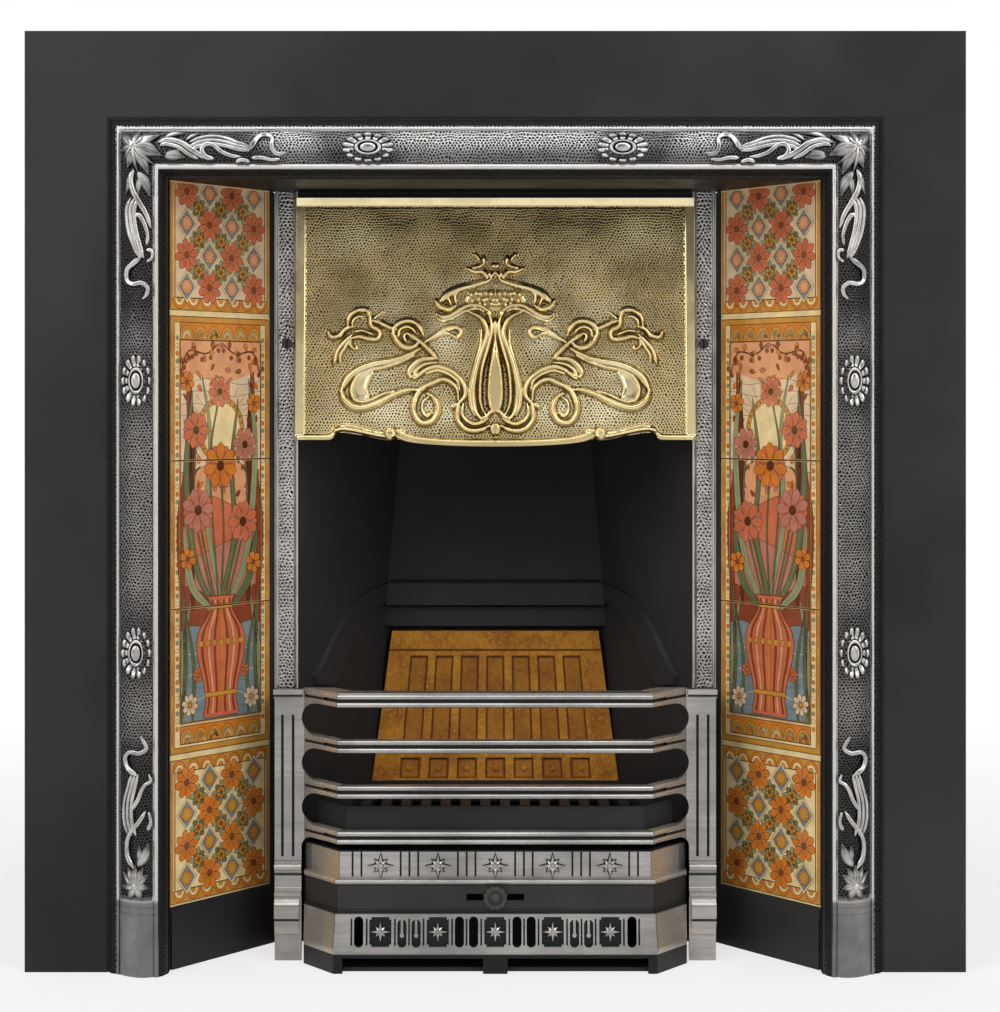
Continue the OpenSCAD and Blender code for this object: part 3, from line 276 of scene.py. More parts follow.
def fitted_iron(name):
    """Polished castings of the fire front, black in their grooves, recesses and feet."""
    m = Mat(name, (0.42, 0.41, 0.4, 1), 0.72, 0.3, IOR=1.5)
    x, y, z = m.xyz()
    x = abs(x)
    y = y + YM / 1000
    along = m.n("Mapping")
    m.put(along.inputs["Vector"], m.coord)
    along.inputs["Scale"].default_value = (0.05, 1, 1)  # the streaks run across the fire front
    streak = m.noise(240, 4, 0.65, along.outputs[0])
    cloud = m.noise(11, 4, 0.6)
    c = m.mix(cloud.ramp(0.3, 0.7), (0.26, 0.25, 0.24), (0.44, 0.425, 0.405))
    c = m.mix(streak.ramp(0.35, 0.75, 0, 0.35), c, (0.16, 0.155, 0.15))
    # a warm brown painted reflection on the canted sides, strongest next to the front
    cant = (x + y * 0.5).ramp(0.1625, 0.1645) * (y < 0.0485)
    reflection_fade = x.ramp(0.17, 0.186, 1, 0.25) * m.noise(16, 2, 0.4).ramp(0.35, 0.65, 0.55, 1)
    c = m.mix(cant * reflection_fade, c, (0.5, 0.42, 0.31))
    if name == "bars_iron":
        bar = (z - BAR_Z + 2 * BAR_PITCH) % BAR_PITCH
        groove = edged(bar, 0.0052, 0.0081, 0.0003) * (y < 0.0493)
        flute = y.within(0.0504, 0.0575) * (x > 0.2045)
        black = groove | flute | (y > 0.0565)
    else:
        # distance behind the front face, square to it on the canted sides too
        front = y * -1 | (x - 0.162) * 0.8 - y * 0.6
        feet = z.ramp(0.0194, 0.0202, 1, 0)
        cell = (x.pingpong(0.0294) < 0.0116) * (x < 0.135)
        sunk = edged(z, 0.0235, 0.06, 0.0002) * (front < 0.004 - cell * 0.0012)
        upper = (z > 0.096) * front.ramp(-0.0062, -0.0056, 1, 0)
        black = (feet | edged(z, 0.0605, 0.0902) * 0.93) | ((sunk | (z > 0.1226)) | ((front < -0.0095) | upper))
    return m.done(m.mix(black, c, (0.016, 0.0155, 0.0155)),
                  (streak + cloud * 0.5).ramp(0.4, 1.1, 0.18, 0.34) + black * 0.18,
                  streak + m.noise(500, 2) * 0.4, 0.00003, 0.2, cant.line(0, 1, 0.72, 0.5))


def edged(v, lo, hi, soft=0.0004):
    return v.ramp(lo - soft, lo + soft) * v.ramp(hi - soft, hi + soft, 1, 0)


def fired_clay(name):
    """The firebrick: speckled clay, with painted shade along the edges of its flutes and in its sunk parts."""
    m = Mat(name, rgb(176, 118, 40), 0, 0.85)
    a = m.noise(30, 6, 0.7)
    b = m.noise(260, 4, 0.7)
    pits = m.texture("Voronoi", "Distance", 420, Randomness=1).ramp(0, 0.22, 1, 0)
    c = m.mix(a.ramp(0.32, 0.68), rgb(158, 92, 18), rgb(206, 138, 36))
    c = m.mix(b.ramp(0.45, 0.72, 0, 0.55), c, rgb(232, 176, 76))
    c = m.mix(m.noise(11, 3).ramp(0.5, 0.75, 0, 0.55), c, rgb(136, 72, 20))
    c = m.mix(pits * m.noise(90, 3).ramp(0.45, 0.6), c, rgb(98, 52, 12))
    x, y, z = m.xyz()
    y = y + (YM / 1000 - BRICK_Y)
    z = z - BRICK_Z
    deep = y * LEAN_COS - z * LEAN_SIN
    t = y * LEAN_SIN + z * LEAN_COS  # height up the face
    xs = abs(x) / (1 - t * 0.769)
    flute = xs.pingpong(0.0165)

    def near(v, at, w):
        return abs(v - at).ramp(w * 0.4, w, 1, 0)
    shade_lines = near(flute, 0.0106, 0.0017) * (t.within(0.0025, 0.026) + t.within(0.0415, 0.1425))
    caps = (near(t, 0.0035, 0.0012) | near(t, 0.0252, 0.0016)) | (near(t, 0.0422, 0.0012) | near(t, 0.142, 0.0019))
    shade_lines = (shade_lines | caps * (flute < 0.0112)) * (xs < 0.1115) | near(t, 0.1496, 0.0016)
    # painted shade along the flutes' edges, and on the parts sunk behind the face
    c = m.mix(shade_lines * 0.85, c, rgb(84, 44, 10))
    c = m.mix(deep.ramp(0.002, 0.0036, 0, 0.42), c, rgb(136, 78, 16))
    return m.done(c, b.ramp(0.3, 0.7, 0.75, 0.95), b + a - pits, 0.0011, 0.8)


def glaze(name, c):
    """Ceramic glaze, a little uneven in colour, gloss and surface."""
    rough = 0.12
    m = Mat(name, c, 0, rough, **{"Coat Weight": 0.4, "Coat Roughness": 0.05})
    k = m.mix(m.noise(55, 5, 0.6).ramp(0.3, 0.7), scaled(c, 0.88), scaled(c, 1.12))
    return m.done(m.mix(m.noise(700, 2).ramp(0.5, 0.75, 0, 0.25), k, scaled(c, 0.7)),
                  m.noise(9, 3).ramp(0.3, 0.7, rough * 0.6, rough * 1.7), m.noise(45, 2), 0.0004, 0.4)


def field(m):
    return m.attr("field")


DEEP = (0.006, 0.006, 0.006)
M = {k: black_iron(name, rgb(*c), rough, spot) for k, name, c, rough, spot in (
    ("plate", "plate_black", (45, 43, 43), 0.42, 0.22), ("dull", "fire_black", (48, 48, 49), 0.6, 0.2),
    ("cheek", "cheek_black", (24, 24, 24), 0.48, 0.15), ("side", "firebox_black", (50, 50, 51), 0.55, 0.15),
    ("slide", "painted_shade_black", (16, 16, 16), 0.7, 0.2), ("air", "air_black", (62, 60, 60), 0.55, 0.2),
    ("knob", "knob_iron", (62, 60, 58), 0.36, 0.25), ("sheet", "pan_sheet", (40, 40, 42), 0.5, 0.25))}
M.update((k, polished_iron(name, c + (1,), rough)) for k, name, c, rough in (
    ("brass_plain", "brass_sheet", (0.6, 0.465, 0.22), 0.3), ("screw", "screw_steel", (0.055, 0.052, 0.05), 0.4),
    ("star", "star_iron", (0.66, 0.65, 0.63), 0.22)))
M.update((k, hammered(name, mask, base + (1,), *rest)) for k, name, mask, base, *rest in (
    ("border", "border_iron", field, (0.22, 0.215, 0.21), (0.36, 0.353, 0.345), DEEP, 0.3, 0.0035, 0.0005, 0.29,
     "ground"),
    ("pil", "pilaster_iron", face_mask, (0.34, 0.33, 0.32), (0.52, 0.51, 0.495), (0.004,) * 3, 0.3, 0.0042, 0.0008,
     0.22),
    ("brass", "canopy_brass", field, (0.52, 0.405, 0.19), (0.7, 0.56, 0.28), (0.035, 0.023, 0.007), 0.22, 0.0034,
     0.0001, 0.29, "relief")))
M["orn"] = relief_iron("ornament_iron")
M["bars"] = fitted_iron("bars_iron")
M["cover"] = fitted_iron("cover_iron")
M["brick"] = fired_clay("firebrick_clay")
GLAZES = {"cream": (238, 214, 158), "peach": (226, 160, 114), "coral": (206, 112, 76), "orange": (216, 126, 48),
          "gold": (204, 146, 60), "brown": (88, 48, 28), "rust": (142, 70, 44), "sage": (148, 156, 114),
          "green": (98, 112, 76), "blue": (124, 140, 144), "pale": (226, 200, 164), "rose": (190, 122, 104)}
M.update((k, glaze("glaze_" + k, rgb(*c))) for k, c in GLAZES.items())


# ---------------- mesh helpers
class Build:
    """Collects vertices and faces of one piece, in design millimetres."""
    def __init__(self):
        self.v, self.f, self.m, self.a = [], [], [], []

    def add(self, verts, faces, mat=0, attr=0):
        k = len(self.v)
        self.v += [tuple(p) for p in verts]
        self.f += [tuple(i + k for i in f) for f in faces]
        self.m += [mat] * len(faces)
        self.a += [attr] * len(verts) if np.isscalar(attr) else list(attr)

    def grid(self, pts, attr=0, close_v=False, flip=False):
        pts = np.asarray(pts, float)
        n, m = pts.shape[:2]
        i, j = np.meshgrid(np.arange(n - 1), np.arange(m if close_v else m - 1), indexing="ij")
        a, b, nxt = i * m, (i + 1) * m, (j + 1) % m
        q = np.stack([a + j, b + j, b + nxt, a + nxt], -1).reshape(-1, 4)
        self.add(pts.reshape(-1, 3), q[:, ::-1] if flip else q, 0,
                 attr if np.isscalar(attr) else np.asarray(attr).reshape(-1))

    def make(self, name, mats, body, slot, smooth=False, **attr):
        """Smooth is False, True, or the angle in degrees from which edges stay sharp."""
        me = bpy.data.meshes.new(name)
        v = (np.asarray(self.v, float) - (0, YM, 0)) / 1000
        me.from_pydata([tuple(p) for p in v], [], [tuple(int(i) for i in f) for f in self.f])
        for m in mats if isinstance(mats, list) else [mats]:
            me.materials.append(m)
        me.polygons.foreach_set("material_index", np.asarray(self.m, dtype=np.int32))
        if smooth:
            for k, a in {"field": self.a, **attr}.items():
                me.attributes.new(k, "FLOAT", "POINT").data.foreach_set("value", np.asarray(a, dtype=np.float32))
            me.polygons.foreach_set("use_smooth", [True] * len(self.f))
            if smooth is not True:
                me.set_sharp_from_angle(angle=radians(smooth))
        me.validate()
        me.update()
        o = link(bpy.data.objects.new(name, me))
        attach(o, body)
        return o


def spline(pts, step=1):
    """Catmull-Rom through the points, resampled about every step."""
    p = np.asarray(pts, float)
    p = np.vstack([2 * p[0] - p[1], p, 2 * p[-1] - p[-2]])
    out = []
    for i in range(1, len(p) - 2):
        a, b, c, d = p[i - 1:i + 3]
        n = max(2, int(np.linalg.norm((c - b)[:2]) / step))
        for t in np.arange(n) / n:
            out.append(0.5 * (2 * b + (c - a) * t + (2 * a - 5 * b + 4 * c - d) * t * t
                              + (3 * b - a - 3 * c + d) * t ** 3))
    out.append(p[-2])
    return np.array(out)


def stack(*a):
    """Points from their coordinates, each an array or one number."""
    return np.stack(np.broadcast_arrays(*a), -1)


def smoothstep(x, a, b):
    t = np.clip((x - a) / (b - a), 0, 1)
    return t * t * (3 - 2 * t)


def bell(x, mid, width):
    return np.exp(-((x - mid) / width) ** 2)


def circle(n):
    return np.linspace(0, TAU, n, endpoint=False)


# ---------------- border moulding
OPEN_HW, OPEN_H = 334.489, 813  # half width and height of the opening that it frames
ROSETTES_Z, ROSETTE_X = (329.5, 606), 129.4  # on the legs, and on the head


def bez2(a, b, c, n):
    t = np.linspace(0, 1, n)[:, None]
    a, b, c = map(np.asarray, (a, b, c))
    return a * (1 - t) ** 2 + 2 * b * t * (1 - t) + c * t * t


def bead_arc(cx, cy, r, a0, a1, n):
    t = np.radians(np.linspace(a0, a1, n))
    return stack(cx + r * np.cos(t), cy + r * np.sin(t))


FIELD = bez2((13.1, -20), (27.8, -30), (49.1, -9), 22)
SECTION = np.vstack([[[0, 1], [0, -6], [1.2, -7.2]],
                     bez2((1.4, -7.4), (3, -15.6), (7.4, -19), 6), [[7.8, -19.5]],
                     bead_arc(10.3, -19.5, 2.5, 180, 345, 10),
                     FIELD, [[49.1, -8.3]],
                     bead_arc(50.8, -8, 1.7, 190, 360, 8), [[52.6, -6.2], [54, -6]],
                     bez2((54.2, -6), (58.5, -5.8), (59.5, -2.4), 6),
                     bez2((59.6, -2.2), (60.4, -0.3), (62.2, 0), 5), [[62.2, 0.7]]])
MASK = np.array([1 if 13.6 < d < 48.9 else 2 if d < 7.6 or d > 53 else 0 for d in SECTION[:, 0]])


def ground(x, z):
    """The section's mask: 1 where it is open and polished, less among the flowers, where it is painted darker, partly
    black finish and partly painted shade, 2 on the black edges.
    """
    inner = OPEN_HW - abs(x)
    if z <= OPEN_H:
        near = max(smoothstep(z, 630, 690) * (1 - smoothstep(inner, 105, 150)), 1 - smoothstep(z, 225, 262))
        off = [z - c for c in ROSETTES_Z]
    else:
        near, off = 1 - smoothstep(inner, 105, 140), [abs(x) - ROSETTE_X]
    near = max(near, *(0.8 * (1 - smoothstep(abs(c), 30, 44)) for c in off))
    return np.where(MASK == 1, 1 - 0.5 * near, MASK)


def arch_sweep():
    b = Build()
    d, y = SECTION.T
    legs = [(0, 0), (63.4, 0), (63.4, 1), (64.6, 1), (64.6, 0), (70.4, 0), (70.4, 1), (71.6, 1), (71.6, 0), (77, 0)]
    for side in SIDES:
        rows, mask = [], []
        for z, inset in legs + [(z, 0) for z in np.linspace(84, OPEN_H, 40)]:
            rows.append(stack(side * (OPEN_HW + d), y + 0.9 * inset, OPEN_H + d if z >= OPEN_H else z))
            mask.append(np.where(MASK == 1, 0, MASK) if z <= 78 else ground(side * OPEN_HW, z))
        b.grid(rows, mask, flip=side < 0)
    across = np.linspace(-1, 1, 61) * OPEN_HW
    b.grid([stack(x + x / OPEN_HW * d, y, OPEN_H + d) for x in across], [ground(x, OPEN_H + 10) for x in across])
    for side in SIDES:  # feet, closed at the hearth
        foot = stack(side * (OPEN_HW + d), y, 0)
        b.add(np.vstack([foot, [[side * (OPEN_HW + 62.2), 1, 0]]]), [range(len(d) + 1)[::side]])
    return b


def rosette(b, cx, cz, vertical):
    """Oval flower with a ring of petals, a bead ring and a domed boss, on the hollow."""
    long, short, foot, rim = 28, 15.8, -19, -14
    th = circle(168)
    ph = np.abs(np.sin(7 * th))  # 0 between the petals, 1 mid petal
    edge = 0.86 + 0.14 * ph ** 0.6
    rows, tone = [], []
    for r in np.concatenate([np.linspace(0, 0.5, 13), np.linspace(0.53, 1, 13)]):
        t = (r - 0.5) / 0.5
        if t > 0:
            shade = smoothstep(ph, 0.2, 0.75) * (0.95 if r > 0.56 else 0.35) * (1 if r < 0.97 else 0.4)
            h = 4.6 + 1.6 * bell(t, 0.72, 0.22) - 2.6 * (1 - ph) * min(1, t * 3)
            h = h - 1 * bell(t, 0.3, 0.2) * ph - 3.6 * max(0, t - 0.86) / 0.14
            r = 0.5 + (edge - 0.5) * t
        else:
            shade = 0.9 if r <= 0.26 else 0.05 if r <= 0.37 else 0.95 if r <= 0.47 else 0.1
            low, up, q = (6.6, 1.9, r / 0.3) if r <= 0.3 else (5.4, 1.7, (r - 0.43) / 0.07)
            h = 5.2 if 0.3 < r <= 0.36 else low + up * sqrt(max(0, 1 - q * q))
        tone.append(shade + 0 * th)
        x, z = long * r * np.cos(th), short * r * np.sin(th)
        x, z = (z, x) if vertical else (x, z)
        rows.append(stack(cx + x, foot - h, cz + z))
    rows.append(rows[-1] * (1, 0, 1) + (0, rim, 0))
    b.grid(rows, tone + [0 * th], close_v=True, flip=vertical)


# ---------------- relief drawn as strokes on the hollow
def at_depth(u, v, y):
    """The design x and z of a point of the photograph that lies at the depth y."""
    s = CAM_F / (CAM_Y + y)
    return (u - CAM_U) / s, CAM_Z - (v - CAM_V) / s


def field_y(x, z):
    return np.interp(min(max(abs(x) - OPEN_HW, z - OPEN_H, 9), 51), FIELD[:, 0], FIELD[:, 1])


def border_point(u, v):
    x, z = at_depth(u, v, -21)
    return np.array([x, field_y(x, z), z])


def both(b, rows, tone, flip, **kw):
    """The form, and its mirror image on the other side."""
    for sx in (1, -1):
        b.grid(np.array(rows) * (sx, 1, 1), tone, flip=sx == flip, **kw)


def tube(b, w0, w1, lift, *uv, high=1, groove=False):
    """A tapering half-round strand through photo points, lying on the hollow."""
    w0, w1 = w0 * WIDE, w1 * 1.6
    p = np.array([border_point(*q[:2]) for q in spline(np.reshape(uv, (-1, 2)), 1.6)])
    t = np.linspace(0, 1, len(p))
    w = (w0 + (w1 - w0) * t) * np.minimum(1, np.minimum(t, 1 - t) * 7 + 0.35)
    dx, dz = np.gradient(p[:, 0]), np.gradient(p[:, 2])
    ln = np.hypot(dx, dz) + 1e-9
    a = np.radians(np.linspace(0, 180, 9))
    rows = []
    for c, h in zip(np.cos(a), np.sin(a)):
        up = h * (high * HIGH) * w * (1 - 0.35 * bell(c, 0, 0.22) if groove else 1)
        y = p[:, 1] - lift * (h > 0.01) - up + 0.9 * (h < 0.01)
        rows.append(stack(p[:, 0] - dz / ln * w * c, y, p[:, 2] + dx / ln * w * c))
    both(b, rows, np.sin(a)[:, None] * np.ones(len(p)), -1)


def leaf(b, u0, v0, u1, v1, width, high, bend, rib, lift=1):
    """A pointed petal or leaf between two photo points, with a hollow along its middle."""
    a, c = border_point(u0, v0), border_point(u1, v1)
    dx, dz = c[0] - a[0], c[2] - a[2]
    ln = np.hypot(dx, dz)
    dx, dz, width, high = dx / ln, dz / ln, width * 1.25, high * 1.25
    rows, tone = [], []
    for t in np.linspace(0, 1, 12):
        wd = width * (sin(pi * t ** 0.8) ** 0.8 if t < 1 else 0) * (1 - 0.25 * t) + 0.15
        off = bend * ln * sin(pi * t)
        for s in np.linspace(-1, 1, 9):
            h = high * (0.45 + 0.55 * sin(pi * min(1, t * 1.1 + 0.1))) * (1 - abs(s) ** 3)
            h -= high * rib * exp(-(s / 0.25) ** 2) * sin(pi * t)
            x = a[0] + dx * t * ln - dz * (s * wd + off)
            z = a[2] + dz * t * ln + dx * (s * wd + off)
            y = field_y(x, z)
            rows.append([x, y - lift - h if abs(s) < 1 else y + 1, z])
            tone.append(min(1, h / high) if abs(s) < 1 else 0)
    both(b, np.reshape(rows, (12, 9, 3)), tone, 1)


def dome(b, u, v, r, high, ring, lift):
    """A round boss with a groove about its top."""
    x, y, z = border_point(u, v)
    th = circle(24)
    rows = []
    for k in np.linspace(0, 1, 8):
        h = high * sqrt(max(0, 1 - k * k)) - ring * bell(k, 0.55, 0.15)
        rows.append(stack(x + r * k * np.cos(th), y - lift - h if k < 1 else y + 1, z + r * k * np.sin(th)))
    both(b, rows, np.repeat([1, 1, 1, 0.9, 0.8, 0.7, 0.5, 0], 24), -1, close_v=True)


def florals():
    b = Build()
    # top corner flower
    f = (133, 145)
    for q in ((159, 135, 6.5, 4.4), (162, 156, 8.5, 5), (149, 175, 6.5, 4.4), (127, 168, 7, 4.6),
              (119, 150, 5, 3.6), (120, 131, 6, 4), (140, 130, 4.6, 3.6)):
        leaf(b, *f, *q, 0.04, 0.45, 1.4)
    for q in ((151, 146), (155, 165), (138, 172), (124, 159), (126, 137), (146, 132)):
        leaf(b, *f, *q, 2.6, 4.8, -0.05, 0.3, 2.4)
    dome(b, *f, 4.6, 6.4, 0.8, 2)
    # top run
    leaf(b, 165, 157, 186, 158, 5.2, 3.4, 0.1, 0.5)
    leaf(b, 166, 154, 182, 149, 3.4, 3, -0.1, 0.5)
    leaf(b, 164, 137, 184, 133, 3.2, 2.8, 0.1, 0.4)
    leaf(b, 186, 140, 199, 133, 2.6, 2.4, 0.1, 0.4)
    tube(b, 2.3, 1.6, 1.4, 158, 142, 170, 140, 182, 143, 192, 150, 202, 156, 213, 158)
    tube(b, 1.6, 1.2, 1, 160, 146, 165, 144, 178, 147, 188, 154, 198, 159)
    for d, w in ((0, 1.7), (4.2, 1.6), (8.2, 1.5)):
        tube(b, w, w * 0.8, 1.6, 190, 142 + d, 200, 138 + d, 212, 136 + d, 226, 138 + d, 238, 143 + d * 0.8,
             250, 147 + d * 0.5)
    curl = (2, 1.3, 1.6)
    tube(b, *curl, 250, 150, 254, 143, 259, 136, 266, 134, 272, 138, 272, 147, 277, 154, 287, 153, high=1.1,
         groove=True)
    tube(b, 1.8, 1.2, 1.2, 214, 159, 206, 157, 202, 150, 206, 144, 213, 145, 222, 152, 232, 156, 241, 157, high=1.1)
    tube(b, 1.6, 1.2, 0.8, 236, 162, 242, 160, 250, 162)
    tube(b, 1.5, 1, 0.8, 252, 158, 262, 158, 272, 160, 280, 159)
    # run down the leg
    tube(b, 2.1, 1.4, 1.4, 134, 170, 131, 178, 133, 190, 140, 203, 147, 215, 151, 228)
    leaf(b, 138, 172, 150, 197, 5.4, 3.4, 0.08, 0.5)
    leaf(b, 143, 176, 139, 196, 3.6, 3, -0.1, 0.5)
    leaf(b, 128, 176, 125, 194, 3.2, 3, 0.1, 0.4)
    for d, w in ((0, 1.7), (4, 1.6), (8, 1.5)):
        tube(b, w, w * 0.8, 1.6, 131 + d, 198, 127 + d, 208, 127 + d, 220, 129 + d, 232, 134 + d * 0.8, 245,
             140 + d * 0.5, 258)
    tube(b, *curl, 141, 258, 133, 264, 127, 270, 127, 280, 133, 284, 142, 283, 148, 288, 147, 295, 143, 299,
         high=1.1, groove=True)
    tube(b, 1.6, 1.1, 1, 134, 217, 139, 215, 144, 222, 148, 235, 147, 245)
    tube(b, 1.5, 1, 1, 147, 250, 152, 251, 152, 258, 147, 262)
    # foot flower
    f = (135, 886)
    for q in ((122, 872, 5, 3.8), (128, 866, 4.6, 4), (136, 864, 4.6, 4.2), (144, 867, 4.6, 4),
              (149, 874, 5, 3.8), (121, 887, 4.8, 3.6), (149, 888, 4.8, 3.6), (127, 900, 4.6, 3.4),
              (142, 900, 4.6, 3.4)):
        leaf(b, *f, *q, 0.03, 0.45, 1.2)
    dome(b, *f, 3.6, 5.4, 0.6, 1.6)
    leaf(b, 138, 866, 149, 842, 5.4, 3.4, -0.08, 0.5)
    leaf(b, 143, 862, 140, 845, 3.4, 3, 0.1, 0.5)
    leaf(b, 126, 862, 123, 842, 3.2, 3, -0.1, 0.4)
    tube(b, 2.1, 1.4, 1.4, 134, 868, 128, 857, 127, 843, 131, 832, 139, 822, 146, 811)
    for d, w in ((0, 1.7), (4, 1.6), (8, 1.5)):
        tube(b, w, w * 0.8, 1.6, 128 + d, 835, 124 + d, 820, 124 + d, 803, 128 + d * 0.9, 788, 132 + d * 0.8, 774)
    tube(b, *curl, 137, 775, 128, 768, 125, 758, 130, 752, 140, 753, 147, 748, 144, 741, 141, 736, high=1.1,
         groove=True)
    tube(b, 1.6, 1.1, 1, 131, 811, 138, 800, 142, 790, 146, 784, 151, 781, 149, 774)
    tube(b, 1.5, 1, 1, 148, 830, 151, 822, 149, 812)
    b.v = np.array(b.v)
    y = b.v[:, 1]
    free, most = -22, 5.2  # from here on, the flowers flatten towards the rosettes' height
    b.v[:, 1] = np.where(y < free, free - most * (1 - np.exp((y - free) / most)), y)
    return b


border = arch_sweep().make("border_casting", M["border"], "surround", "polished_iron", 35)
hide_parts("border_moulding")
b = Build()
for x, z in [(364.64, z) for z in ROSETTES_Z] + [(ROSETTE_X, 843.15)]:
    for sx in SIDES:
        rosette(b, sx * x, z, z < OPEN_H)
b.make("border_rosettes", M["orn"], "surround", "polished_iron", 60)
florals().make("border_flowers", M["orn"], "surround", "polished_iron", True)


# ---------------- canopy: raised relief beaten in sheet brass
CAN_A = atan(22 / 260)  # lean of the sheet
CAN_Y, CAN_Z = 122, 804.4  # depth and height of its top edge
CAN_HW = 214  # half its width
SA, CA = sin(CAN_A), cos(CAN_A)


def can_pts(uv):
    """Photo points, of the left half, to the sheet's own x and z. Its middle is at u 493."""
    u, v = np.reshape(uv, (-1, 2)).T
    k = CAM_V - v
    z = (k * (CAM_Y + CAN_Y) - CAM_F * (CAN_Z - CAM_Z)) / (CAM_F * CA - k * SA)
    return stack((u - 493) * (CAM_Y + (CAN_Y + z * SA)) / CAM_F, z)


EDGE = can_pts((293, 440, 318, 440, 328, 439.6, 331, 438.2, 332.5, 434, 335, 432.6, 342, 432.7, 350, 433.8,
                360, 435.3, 370, 436.9, 380, 439.2, 386, 440.6, 390, 440.4, 393, 438, 396, 439.8, 400, 440.8,
                410, 442.6, 420, 443.9, 435, 445, 450, 445.7, 470, 446.3, 493, 446.6))
XS = np.linspace(-CAN_HW, 0, 276)
ZE = np.interp(XS, EDGE[:, 0], EDGE[:, 1])
GZ = np.linspace(0, 1, 336)[:, None] * ZE
GX = np.repeat(XS[None, :], len(GZ), 0)
HT = np.zeros_like(GX)  # height of the relief in front of the sheet
CLEAR = np.zeros_like(GX)  # 1 where the ground is smooth
# photo points of the drawing, after the widths and the height of each form
CORDS = (  # width, height, width at the far end
    # teardrop loops at the sides
    (2, 3.6, 3, 418, 349, 404, 357, 390, 361, 372, 364, 358, 369, 347, 377, 341, 386, 339, 392),
    (3.2, 4.4, 1.6, 339, 391, 342, 400, 349, 406, 358, 408, 368, 406, 380, 401, 392, 395, 404, 391, 417, 390),
    (1.1, 3.4, 0.9, 412, 356, 400, 362, 385, 367, 370, 370, 358, 375, 351, 383, 349, 392, 353, 400, 361, 402,
     371, 399, 382, 394, 392, 391),
    # vase
    (1.5, 3.6, 2.8, 466, 312, 478, 318, 484, 327, 485, 336, 481, 347, 476, 362, 472, 378, 470, 390, 471, 404,
     474, 413, 479, 419),
    (1.6, 4.2, 1, 485, 313, 489, 322, 489, 335, 485, 350, 480, 368, 478, 385, 478, 400, 480, 409, 484, 416),
    (0.9, 2.6, 0.9, 479, 330, 478, 345, 473, 362, 469, 378, 467, 392, 468, 406, 472, 416),
    (0.8, 5.4, 0.8, 493, 352, 489, 366, 487, 380, 486.4, 396, 488, 407),
    (1.6, 4, 1.4, 478, 419, 484, 417, 488, 412.5, 493, 411, 498, 412.5),
    (1.9, 3.8, 1.5, 457, 403, 455, 413, 456, 421, 462, 428, 470, 431, 479, 430, 487, 426),
    (1.3, 3, 1.1, 461, 404, 460, 414, 464, 420, 472, 424, 480, 422, 486, 419),
    # arms that spread from the vase's neck
    (1.2, 3, 1.8, 434, 314, 439, 317, 447, 316.5, 455, 312, 463, 307, 472, 305, 480, 307, 487, 313, 490, 321),
    (1, 2.6, 1, 433, 316, 438, 320.5, 446, 320, 455, 316, 464, 311, 474, 309, 481, 312),
    # crown
    (1.5, 3.4, 3, 489, 275, 488, 280, 480, 283, 470, 286, 458, 289, 447, 294, 440, 300, 436, 303),
    (3, 4.6, 1.2, 434, 302, 436, 305, 440, 308, 447, 309.5, 455, 306),
    (1, 2.8, 0.8, 449, 292, 446, 298, 449, 305),
    (1.2, 2.6, 0.8, 458, 290, 453, 296, 454, 304),
    (1, 2.8, 0.8, 472, 255, 475, 257, 477, 261),
    (1.3, 3.4, 0.9, 481, 257, 481.5, 264, 477, 267, 470, 268.5),
    (1.2, 3, 1.8, 465, 269, 473, 272, 480, 272, 484, 276, 486, 281),
    (1.3, 3.2, 0.9, 493, 285, 497, 279, 493, 273, 489, 277, 486, 272),
    # spiral beside the vase
    (1.4, 3.2, 3, 435, 359, 420, 360, 411, 366, 407, 373, 408, 377),
    (1.4, 3.4, 1.8, 434, 363, 422, 365, 414, 371, 412, 378, 417, 375, 424, 370, 434, 367, 446, 370, 456, 377,
     462, 386, 463, 395, 459, 401, 453, 406),
    (0.8, 2.4, 0.8, 424, 374, 435, 371, 446, 374.5, 455, 382, 458, 391),
    (1.6, 4.4, 2.2, 456, 400, 455, 390, 449, 383, 440, 380, 430, 384, 421, 388, 414, 396, 411, 408, 414, 418,
     421, 423.5, 430, 421, 435, 413, 435, 404, 430, 397, 425, 394),
    (0.9, 2.6, 0.9, 427, 397, 421, 402, 420, 410, 424, 416, 430, 413),
    # knot with its crossing stick and curls
    (2.2, 3.6, 1.4, 395, 342, 391, 334, 394, 326, 402, 321.5, 411, 322, 418, 328, 421, 336),
    (2.4, 4.2, 1.6, 391, 333, 395, 342, 402, 347.5, 411, 347.5, 418, 342),
    (1, 2.6, 0.8, 396, 338, 398, 330, 404, 327, 410, 329, 414, 334),
    (1.2, 2.8, 0.8, 404, 342, 402, 337, 405, 333.5, 410, 335),
    (1.9, 5, 1.5, 405, 334, 413, 339, 421, 345, 428, 352, 435, 359),
    (1.2, 3.4, 1.8, 419, 345, 430, 338, 440, 331, 450, 328, 457, 329, 459, 333, 455, 338, 449, 335.5),
    (0.8, 2.6, 0.8, 424, 343, 433, 338, 441, 334, 447, 334),
    # stem, bud and open flower at the far end
    (2, 3.2, 1.4, 394, 330, 386, 327, 378, 323, 370, 321),
    (0.8, 2.2, 0.6, 371, 320, 375, 316, 381, 311.5),
    (1.5, 4, 1.8, 346, 329, 346, 320, 350, 314, 358, 310, 365, 311, 368, 317, 369, 326, 376, 330, 378, 335,
     375, 339.5, 366, 339, 357, 337, 349, 339),
    (0.9, 2.6, 0.8, 350, 327, 351, 321, 356, 317, 361, 317),
    (0.9, 3, 0.8, 352, 332, 360, 331, 366, 333, 371, 335),
    (2, 3.8, 1.3, 326, 332, 329, 337, 337, 336, 344, 329, 351, 327),
    (1.3, 3.8, 1.9, 350, 335, 341, 344, 335, 352, 332, 364),
    (1, 3, 0.9, 350, 338, 343, 348, 338.5, 355, 338, 363),
    (1, 3, 0.9, 349, 339, 348, 345, 351, 348.5, 355, 349, 354, 345),
    (0.8, 1.6, 0.8, 334, 427.5, 345, 425.5, 358, 428, 370, 431.6, 382, 433),
    (1.2, 5.2, 0.9, 384, 436, 386, 431, 391, 431, 392, 436, 389, 437),
    (0.9, 3.2, 0.7, 397, 430, 401, 430.8, 403, 434))
